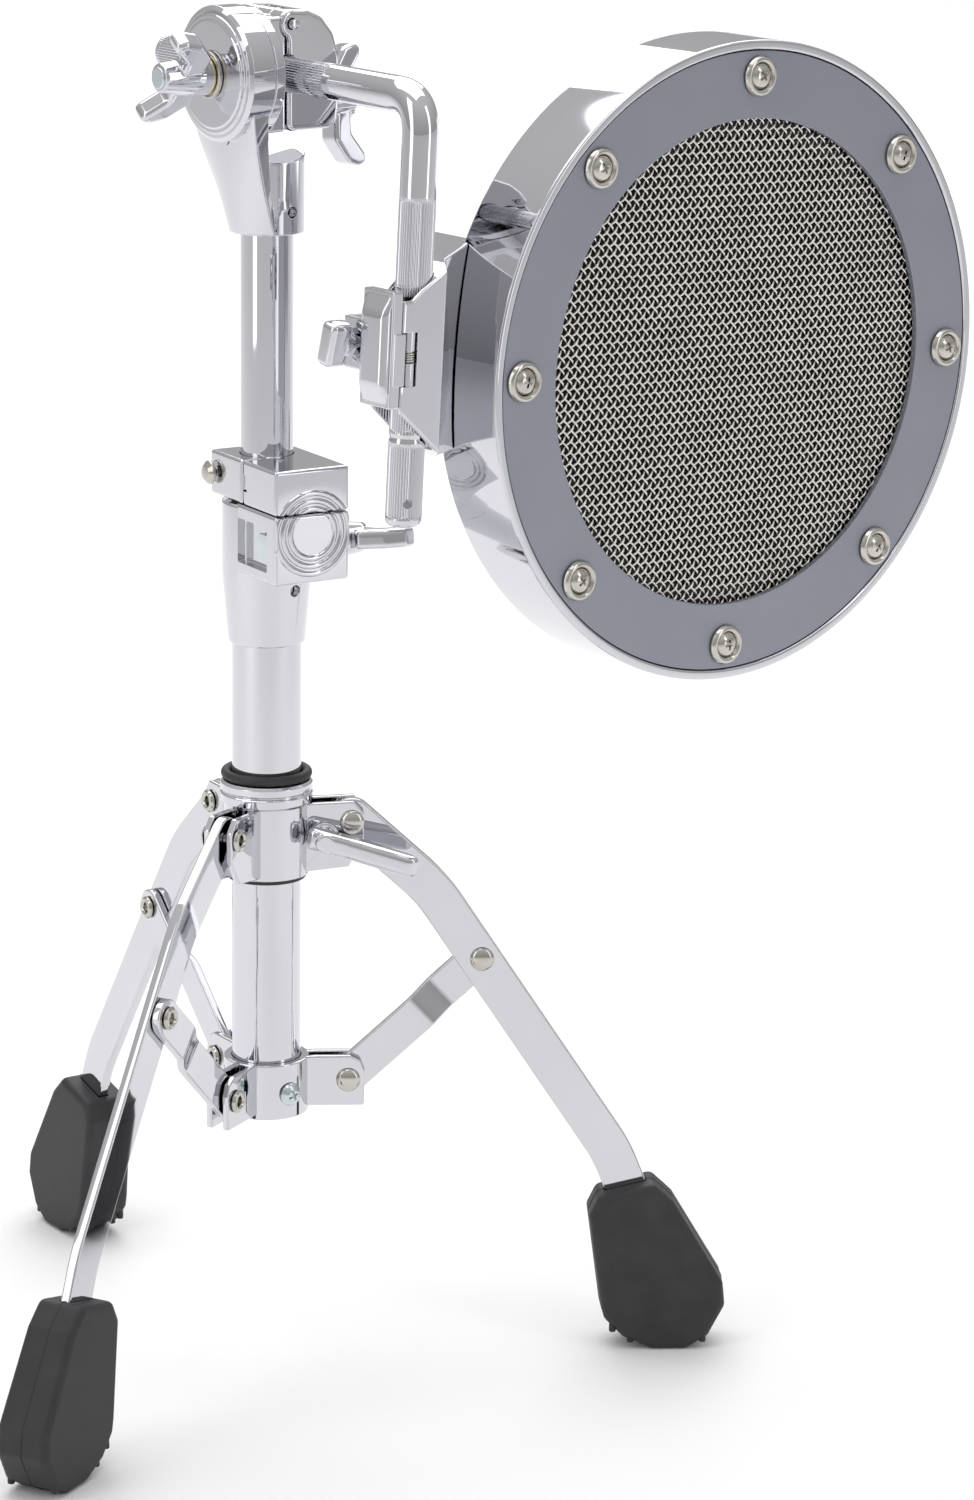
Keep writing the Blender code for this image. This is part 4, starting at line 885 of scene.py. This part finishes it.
def add_arm_clamp():
    half_x = CLAMP_HALF_X
    pin_y, pin_z = CLAMP_PIN
    face = CLAMP_DEPTH
    knuckle = [(pin_y + 0.0050 * cos(radians(a)), pin_z + 0.0050 * sin(radians(a)))
               for a in range(75, 251, 10)]
    outline = [
        (0.0004, 0.0110), (0.0004, -0.0190), (0.0019, -0.0205), (face - 0.0035, -0.0205),
        (face - 0.0010, -0.0185), (face, -0.0120), (face, 0.0050), (face - 0.0025, 0.0130),
        (face - 0.0075, 0.0190), (0.0085, 0.0218),
    ]
    jaw = slab(fillet([*outline, *knuckle], 0.0050, True, 6, least=14.0), 2 * half_x, "YZ", 0.0016,
               rounds=4)
    cut(
        jaw, peg((1, 0, 0), (), ARM_R + GAP, -0.030, 0.030, 96),
        peg((1, 0, 0), (0, pin_y, pin_z), 0.0054, -0.0048, 0.0048, 64),
        peg((1, 0, 0), (0, pin_y, pin_z), 0.0020, -0.030, 0.030, 32),
        peg((0, 1, 0), (0, 0, CLAMP_BOLT_Z), 0.0039, -0.010, 0.030, 32),
    )
    show(soften(jaw, 0.00025), "arm_clamp_jaw", "chrome", TILTER)
    bolt = peg((0, 1, 0), (), 0.0028, -0.0062, face + 0.0125, 40, 0.0004)
    show(bolt, "arm_clamp_bolt", "zinc", TILTER @ shift(z=CLAMP_BOLT_Z))
    nut = wing_nut(0.0062, 0.0120, 0.044, 0.0150, flutes=11, broad=1.60)
    show(nut, "arm_clamp_wing_nut", "chrome",
         TILTER @ shift(0.0, face + JAW_PLAY, CLAMP_BOLT_Z) @ aimed((0, 1, 0), 84.0), 60.0)


FLUTES, FLUTE_DEPTH = 40, 0.00034
FLUTED = ((ARM_TAIL + 0.002, 0.042), (0.0335, 0.114), (0.1175, 0.1445))
FLUTE_STEP, FLUTE_FADE = 0.0007, 0.0008
GROOVE_AT, GROOVE_HALF, GROOVE_DEPTH = 0.1158, 0.0008, 0.0004
END_LENGTH, END_R, END_HOLE_DROP = 0.0034, 0.0030, 0.1380


def add_arm():
    """The L-shaped arm: a smooth bend between finely fluted ends."""
    level, down, side = Vector((1, 0, 0)), Vector((0, 0, -1)), Vector((0, 1, 0))
    stations = []

    def station(place, along, radius=ARM_R, fluted=0.0):
        stations.append((Vector(place), along, radius, fluted))

    def depth(value, spans):
        best = 0.0
        for low, high in spans:
            if low <= value <= high:
                best = min(1.0, (value - low) / FLUTE_FADE, (high - value) / FLUTE_FADE)
        return best

    for radius, lift in ((0.0, 0.0), (0.0036, 0.0), (0.0050, 0.0004), (ARM_R, 0.0018)):
        station((ARM_TAIL + lift, 0, 0), level, radius)
    corner, reach = Vector((ARM_REACH, 0.0, 0.0)), ARM_BEND_R * 0.9
    x = ARM_TAIL + 0.0022
    while x < ARM_REACH - reach:
        station((x, 0, 0), level, ARM_R, depth(x, FLUTED[:1]))
        x += FLUTE_STEP if x < 0.044 else 0.004
    start, finish = corner - level * reach, corner + down * reach
    for k in range(25):
        t = k / 24
        along = ((1 - t) * (corner - start) + t * (finish - corner)).normalized()
        station((1 - t) ** 2 * start + 2 * t * (1 - t) * corner + t * t * finish, along)
    z = reach + 0.004
    while z < ARM_DROP - END_LENGTH:
        groove = GROOVE_DEPTH if abs(z - GROOVE_AT) < GROOVE_HALF else 0.0
        station((ARM_REACH, 0, -z), down, ARM_R - groove, depth(z, FLUTED[1:]))
        z += FLUTE_STEP if z > 0.032 else 0.003
    for k in range(8):
        a = pi / 2 * k / 7
        station((ARM_REACH, 0, -(ARM_DROP - END_LENGTH + END_LENGTH * sin(a))), down,
                ARM_R - END_R + END_R * cos(a) if k < 7 else 0.0)
    sides = FLUTES * 4
    verts, rings = [], []
    for place, along, radius, fluted in stations:
        if radius < 1e-7:
            rings.append([len(verts)])
            verts.append(place)
            continue
        lift = along.cross(side)
        rings.append(list(range(len(verts), len(verts) + sides)))
        for i in range(sides):
            a = 2 * pi * i / sides
            r = radius - fluted * FLUTE_DEPTH * (1 - abs(sin(a * FLUTES / 2)))
            verts.append(place + r * (cos(a) * side + sin(a) * lift))
    arm = shape(verts, skin(zip(rings, rings[1:]), sides))
    cut(arm, peg(heading(-24.0), (ARM_REACH, 0.0, -END_HOLE_DROP), 0.0017, 0.001, 0.0090, 24))
    show(arm, "l_arm", "chrome", ARM, 60.0)


# -------------------------------- clamp on the rod
def rear_outline(offset=0.0):
    rim_r, clear = COVER_RIM_R + offset, BODY_R + offset
    return [
        (0.0, offset), (clear, offset), (clear, -BODY_DEPTH - offset),
        (rim_r, -BODY_DEPTH - offset), (rim_r, COVER_BEND[1]), (COVER_BEND[0], -0.0400 - offset),
        (REAR_FLAT_R, REAR_X - offset), (0.0, REAR_X - offset),
    ]


def add_body_mount():
    hole_r = ARM_R + GAP
    (left, right), (bottom, top) = MOUNT_WINDOW_Y, MOUNT_WINDOW_Z
    base = block((-0.0090, -0.0105, -0.0205), (0.0081, 0.0060, 0.0168), 0.0006, 3)
    horn = soften(loft([rectangle(x, y, z) for x, y, z in (
        ((-0.0088, 0.0082), -0.0102, (-0.0215, 0.0164)),
        ((-0.0088, 0.0082), -0.0062, (-0.0250, 0.0170)),
        ((-0.0092, 0.0082), -0.0025, (-0.0280, 0.0205)),
        ((-0.0110, 0.0082), 0.0040, (-0.0335, 0.0244)),
        ((-0.0150, 0.0081), 0.0080, (-0.0365, 0.0262)),
        ((-0.0240, -0.0020), 0.0150, (-0.0400, 0.0290)),
        ((-0.0520, -0.0215), 0.0440, (-0.0410, 0.0320)),
    )]), 0.0010, 3, 24.0)
    lug = block((-0.0190, -0.0105, -0.0090), (-0.0080, -0.0020, 0.0090), 0.0008)
    join(base, horn, lug)
    mouth = block((-hole_r, -0.0150, -0.050), (hole_r, 0.0, 0.050), 0.0)
    window = block((0.0022, left, bottom), (0.0100, right, top), 0.0003)
    bolt_way = peg((0, 1, 0), (MOUNT_BOLT_X,), 0.0034, -0.020, 0.005)
    body_room = put(lathe(rear_outline(0.0004), 192), shift(
        BODY_FRONT_X, ROD_TO_BODY + BODY_R, BODY_DROP) @ aimed((1, 0, 0)))
    cut(base, rod(hole_r, -0.050, 0.050, 96), mouth, window, bolt_way, body_room)
    barrels = [rod(MOUNT_PIN_R, bottom - 0.0015, -0.0046, 48, 0.0003),
               rod(MOUNT_PIN_R, -0.0006, top + 0.0015, 48, 0.0003)]
    show(soften(base, 0.0002), "mount_base", "chrome", ROD)
    show(join(*barrels), "mount_base", "chrome", ROD @ shift(*MOUNT_PIN), 60.0, "mount_pin_ends")

    turns, per_turn, coil_r = 5, 16, 0.0017
    spring = bpy.data.curves.new("spring", "CURVE")
    spring.dimensions, spring.bevel_depth, spring.use_fill_caps = "3D", 0.00036, True
    coil = spring.splines.new("POLY")
    coil.points.add(turns * per_turn)
    for k, point in enumerate(coil.points):
        a = 2 * pi * k / per_turn
        rise = 0.0040 * k / (turns * per_turn)
        point.co = (coil_r * cos(a), coil_r * sin(a), -0.0046 + rise, 1.0)
    show(curve_mesh(spring), "mount_base", "nickel", ROD @ shift(*MOUNT_PIN), 60.0, "mount_spring")

    jaw = block((-0.0082, -0.0152, -0.0200), (0.0082, -0.0108, 0.0200), 0.0006, 3)
    pillow = soften(loft([
        rectangle((-0.0080, 0.0080), -0.0146, (-0.0198, 0.0198)),
        rectangle((-0.0052, 0.0066), -0.0185, (-0.0125, 0.0125)),
    ]), 0.0019, 5, 15.0)
    leaf = block((0.0026, -0.0140, bottom + 0.0003), (0.0086, -0.0093, top - 0.0003), 0.0003)
    nose = block((-0.0042, -0.0120, -0.0190), (0.0018, -0.0068, 0.0190), 0.0006)
    lug = block((-0.0190, -0.0146, -0.0090), (-0.0070, -0.0110, 0.0090), 0.0008)
    join(jaw, pillow, leaf, nose, lug)
    cut(jaw, peg((0, 1, 0), (MOUNT_BOLT_X,), 0.0029, -0.020, -0.005))
    show(soften(jaw, 0.0002), "mount_jaw", "chrome", ROD)

    bolt = rod(0.0023, -0.0130, 0.002, 40)
    hub = rod(0.0050, 0.0, 0.0040, 48, 0.0006)
    grip = block((-0.0078, -0.0038, 0.0008), (0.0078, 0.0038, 0.0104), 0.0022, 3)
    show(join(bolt, hub, grip), "mount_wing_bolt", "chrome",
         ROD @ shift(MOUNT_BOLT_X, -0.0150 - JAW_PLAY) @ aimed((0, -1, 0), 78.0), 30.0)


# -------------------------------- round body
def add_shell():
    front, back, wall = -0.0033, -0.0065, BODY_R - 0.0030
    profile = [
        (BODY_R, 0.0), (BODY_R, -BODY_DEPTH), (wall, -BODY_DEPTH), (wall, back), (0.0982, back),
        (0.0982, front), (PLATE_R + GAP, front), (PLATE_R + GAP, 0.0),
    ]
    show(lathe(fillet(profile, 0.0011, True, 5), 256, True), "mic_shell", "chrome", DISC)
    thickness = 0.0024
    plate = slab([circle(PLATE_R, 256), circle(GRILLE_OPENING_R, 256)], thickness, "XY", 0.0003)
    show(plate, "front_plate", "grey_metal", DISC @ shift(z=-0.0006 - thickness / 2))


WEAVE_PITCH, WIRE_R, WEAVE_R, WEAVE_Z = 0.00272, 0.00047, 0.0930, -0.0041


def add_grille():
    """Plain-woven wires at 45 degrees, each family as one piece."""
    sides, per_cross = 6, 4
    for family, name in enumerate(("grille_warp", "grille_weft")):
        verts, faces = [], []
        count = int(WEAVE_R / WEAVE_PITCH)
        for row in range(-count, count + 1):
            offset = row * WEAVE_PITCH
            half = sqrt(max(WEAVE_R ** 2 - offset ** 2, 0.0))
            spans = int(half / WEAVE_PITCH * per_cross)
            if spans < per_cross:
                continue
            previous = None
            for step in range(-spans, spans + 1):
                along = step * WEAVE_PITCH / per_cross
                phase = pi * (along / WEAVE_PITCH + row + family)
                height = WIRE_R * 1.02 * cos(phase)
                slope = -WIRE_R * 1.02 * pi / WEAVE_PITCH * sin(phase)
                lean = 1 / sqrt(1 + slope * slope)
                ring = []
                for k in range(sides):
                    a = 2 * pi * k / sides
                    side, up = WIRE_R * cos(a), WIRE_R * sin(a)
                    place = (along - up * slope * lean, offset + side, height + up * lean)
                    if family:
                        place = (place[1], place[0], place[2])
                    ring.append(len(verts))
                    verts.append(place)
                if previous:
                    for k in range(sides):
                        j = (k + 1) % sides
                        faces.append((previous[k], previous[j], ring[j], ring[k]))
                else:
                    faces.append(tuple(ring[::-1]))
                previous = ring
            faces.append(tuple(previous))
        wires = put(shape(verts, faces), turn(45.0))
        show(wires, "grille_mesh", "steel_wire", DISC @ shift(z=WEAVE_Z), 80.0, name)


def add_face_screws():
    washer = fillet([
        (0.0047, 0.0004), (0.0050, 0.0011), (0.0058, 0.0018), (0.0068, 0.0014), (0.0074, 0.0002),
        (0.0073, -0.0003), (0.0047, -0.0003),
    ], 0.0006, True, 3)
    head = [(0.0, 0.0024), (0.0012, 0.0023), (0.0026, 0.0020), (0.0038, 0.0014), (0.0045, 0.0006),
            (0.0046, -0.0002), (0.0018, -0.0002), (0.0018, -0.0062), (0.0, -0.0062)]
    for number in range(1, 9):
        angle = 2 * pi * (number - 1) / 8
        up, side = FACE_SCREW_CIRCLE_R * cos(angle), FACE_SCREW_CIRCLE_R * sin(angle)
        screw = phillips(lathe(fillet(head, 0.0004, steps=2), 48), 0.0024, 0.0026)
        join(screw, lathe(washer, 64, True))
        show(screw, f"face_screw_{number}", "nickel",
             DISC @ shift(side, up) @ turn(37.0 * number))


def add_rear():
    rim_r, wall = COVER_RIM_R, 0.0020
    profile = fillet([
        (REAR_FLAT_R - 0.0006, REAR_X + wall), (0.1068, -0.0384),
        (rim_r - wall, -0.0338), (rim_r - wall, -0.0260), (rim_r, -0.0260),
        (rim_r, -0.0345), (0.1080, -0.0400), (REAR_FLAT_R, REAR_X),
    ], 0.0040, False, 6)
    cover = lathe([(0.0, REAR_X + wall), *profile, (0.0, REAR_X)], 192)
    cut(cover, put(rod(0.0109, REAR_X - 0.01, REAR_X + 0.01, 64), shift(y=-CONNECTOR_DROP)))
    show(cover, "rear_cover", "aluminium", DISC)
    back = REAR_X - GAP
    profile = [
        (0.0, back + 0.0160), (0.0105, back + 0.0160), (0.0105, back), (0.0138, back),
        (0.0138, back - 0.0022), (0.0084, back - 0.0022), (0.0084, back + 0.0100),
        (0.0, back + 0.0100),
    ]
    socket = lathe(fillet(profile, 0.0005), 96)
    for angle in (90.0, 210.0, 330.0):
        pin = rod(0.0012, back - 0.0010, back + 0.0120, 24, 0.0005)
        a = radians(angle)
        join(socket, put(pin, shift(0.0047 * cos(a), 0.0047 * sin(a))))
    show(socket, "output_connector", "black_plastic", DISC @ shift(y=-CONNECTOR_DROP))
    for node, finish in (("driver_basket", "black_plastic"), ("driver_cone", "paper"),
                         ("driver_magnet", "ferrite")):
        repaint(node, finish)


# -------------------------------- studio
CAMERA_AT, CAMERA_LENS, SENSOR = Vector((-0.0969, -1.7354, 0.6884)), 117.94, 36.0
SKY_LOW, SKY_HIGH = 0.40, 0.66
FLOOR_HALF = 30


def soft_lamp(name, size, energy, place, aim):
    """A rectangular soft box, given by its width and height."""
    light = bpy.data.lights.new(name, "AREA")
    light.shape, light.energy = "RECTANGLE", energy
    light.size, light.size_y = size
    lamp = bpy.data.objects.new(name, light)
    lamp.location = place
    lamp.rotation_mode = "QUATERNION"
    lamp.rotation_quaternion = (Vector(aim) - Vector(place)).to_track_quat("-Z", "Y")
    bpy.context.scene.collection.objects.link(lamp)


def add_studio():
    world = bpy.data.worlds.new("studio")
    bpy.context.scene.world = world
    world.use_nodes = True
    tree = world.node_tree
    add, link = tree.nodes.new, tree.links.new
    back = tree.nodes["Background"]
    where = add("ShaderNodeTexCoord")
    parts = add("ShaderNodeSeparateXYZ")
    sky = add("ShaderNodeMapRange")
    sky.inputs["From Min"].default_value, sky.inputs["From Max"].default_value = 0.0, 0.8
    sky.inputs["To Min"].default_value, sky.inputs["To Max"].default_value = SKY_LOW, SKY_HIGH
    link(where.outputs["Generated"], parts.inputs["Vector"])
    link(parts.outputs["Z"], sky.inputs["Value"])
    link(sky.outputs["Result"], back.inputs["Strength"])
    back.inputs["Color"].default_value = (1.0, 1.0, 1.0, 1.0)
    bpy.context.scene.view_settings.view_transform = "Standard"

    ends = (-FLOOR_HALF, FLOOR_HALF)
    floor = shape(rectangle(ends, ends, 0.0), [(0, 1, 2, 3)])
    floor.name = "floor"
    floor.data.materials.append(material("floor", (0.955, 0.955, 0.955), (0.965, 0.965, 0.965),
                                         (0.85, 0.95), scale=3.0))

    soft_lamp("soft_top", (2.2, 2.2), 22.0, (-0.2, 0.5, 2.1), (0.0, 0.3, 0.0))
    soft_lamp("soft_back", (3.0, 2.0), 58.0, (0.3, 3.6, 2.7), (0.2, 3.0, 0.0))
    soft_lamp("soft_left", (0.5, 1.5), 3.0, (-1.10, -0.75, 0.80), (0.0, 0.0, 0.25))
    soft_lamp("soft_right", (0.3, 1.5), 1.9, (1.05, -0.75, 0.80), (0.0, 0.0, 0.25))


def add_camera():
    data = bpy.data.cameras.new("camera")
    data.sensor_fit = "VERTICAL"
    data.sensor_height = data.sensor_width = SENSOR
    data.lens = CAMERA_LENS
    data.clip_start, data.clip_end = 0.05, 100.0
    camera = bpy.data.objects.new("camera", data)
    bpy.context.scene.collection.objects.link(camera)
    right = Vector((0.99864718, -0.05053256, 0.01225837))
    up = Vector((0.0010342, 0.25500208, 0.96693995))
    ahead = Vector((0.05198786, 0.96561918, -0.25470937))
    basis = Matrix((right, up, -ahead)).transposed()
    camera.rotation_mode = "QUATERNION"
    camera.rotation_quaternion = basis.to_quaternion()
    camera.location = CAMERA_AT
    bpy.context.scene.camera = camera


add_camera()
add_studio()
add_column()
add_lower_hub()
add_upper_hub()
add_hub_wing_bolt()
add_tripod()
add_tube_joint()
add_memory_lock()
add_tilter_base()
add_tilter_bolt()
add_tilter_head()
add_arm_clamp()
add_arm()
add_body_mount()
add_shell()
add_grille()
add_face_screws()
add_rear()
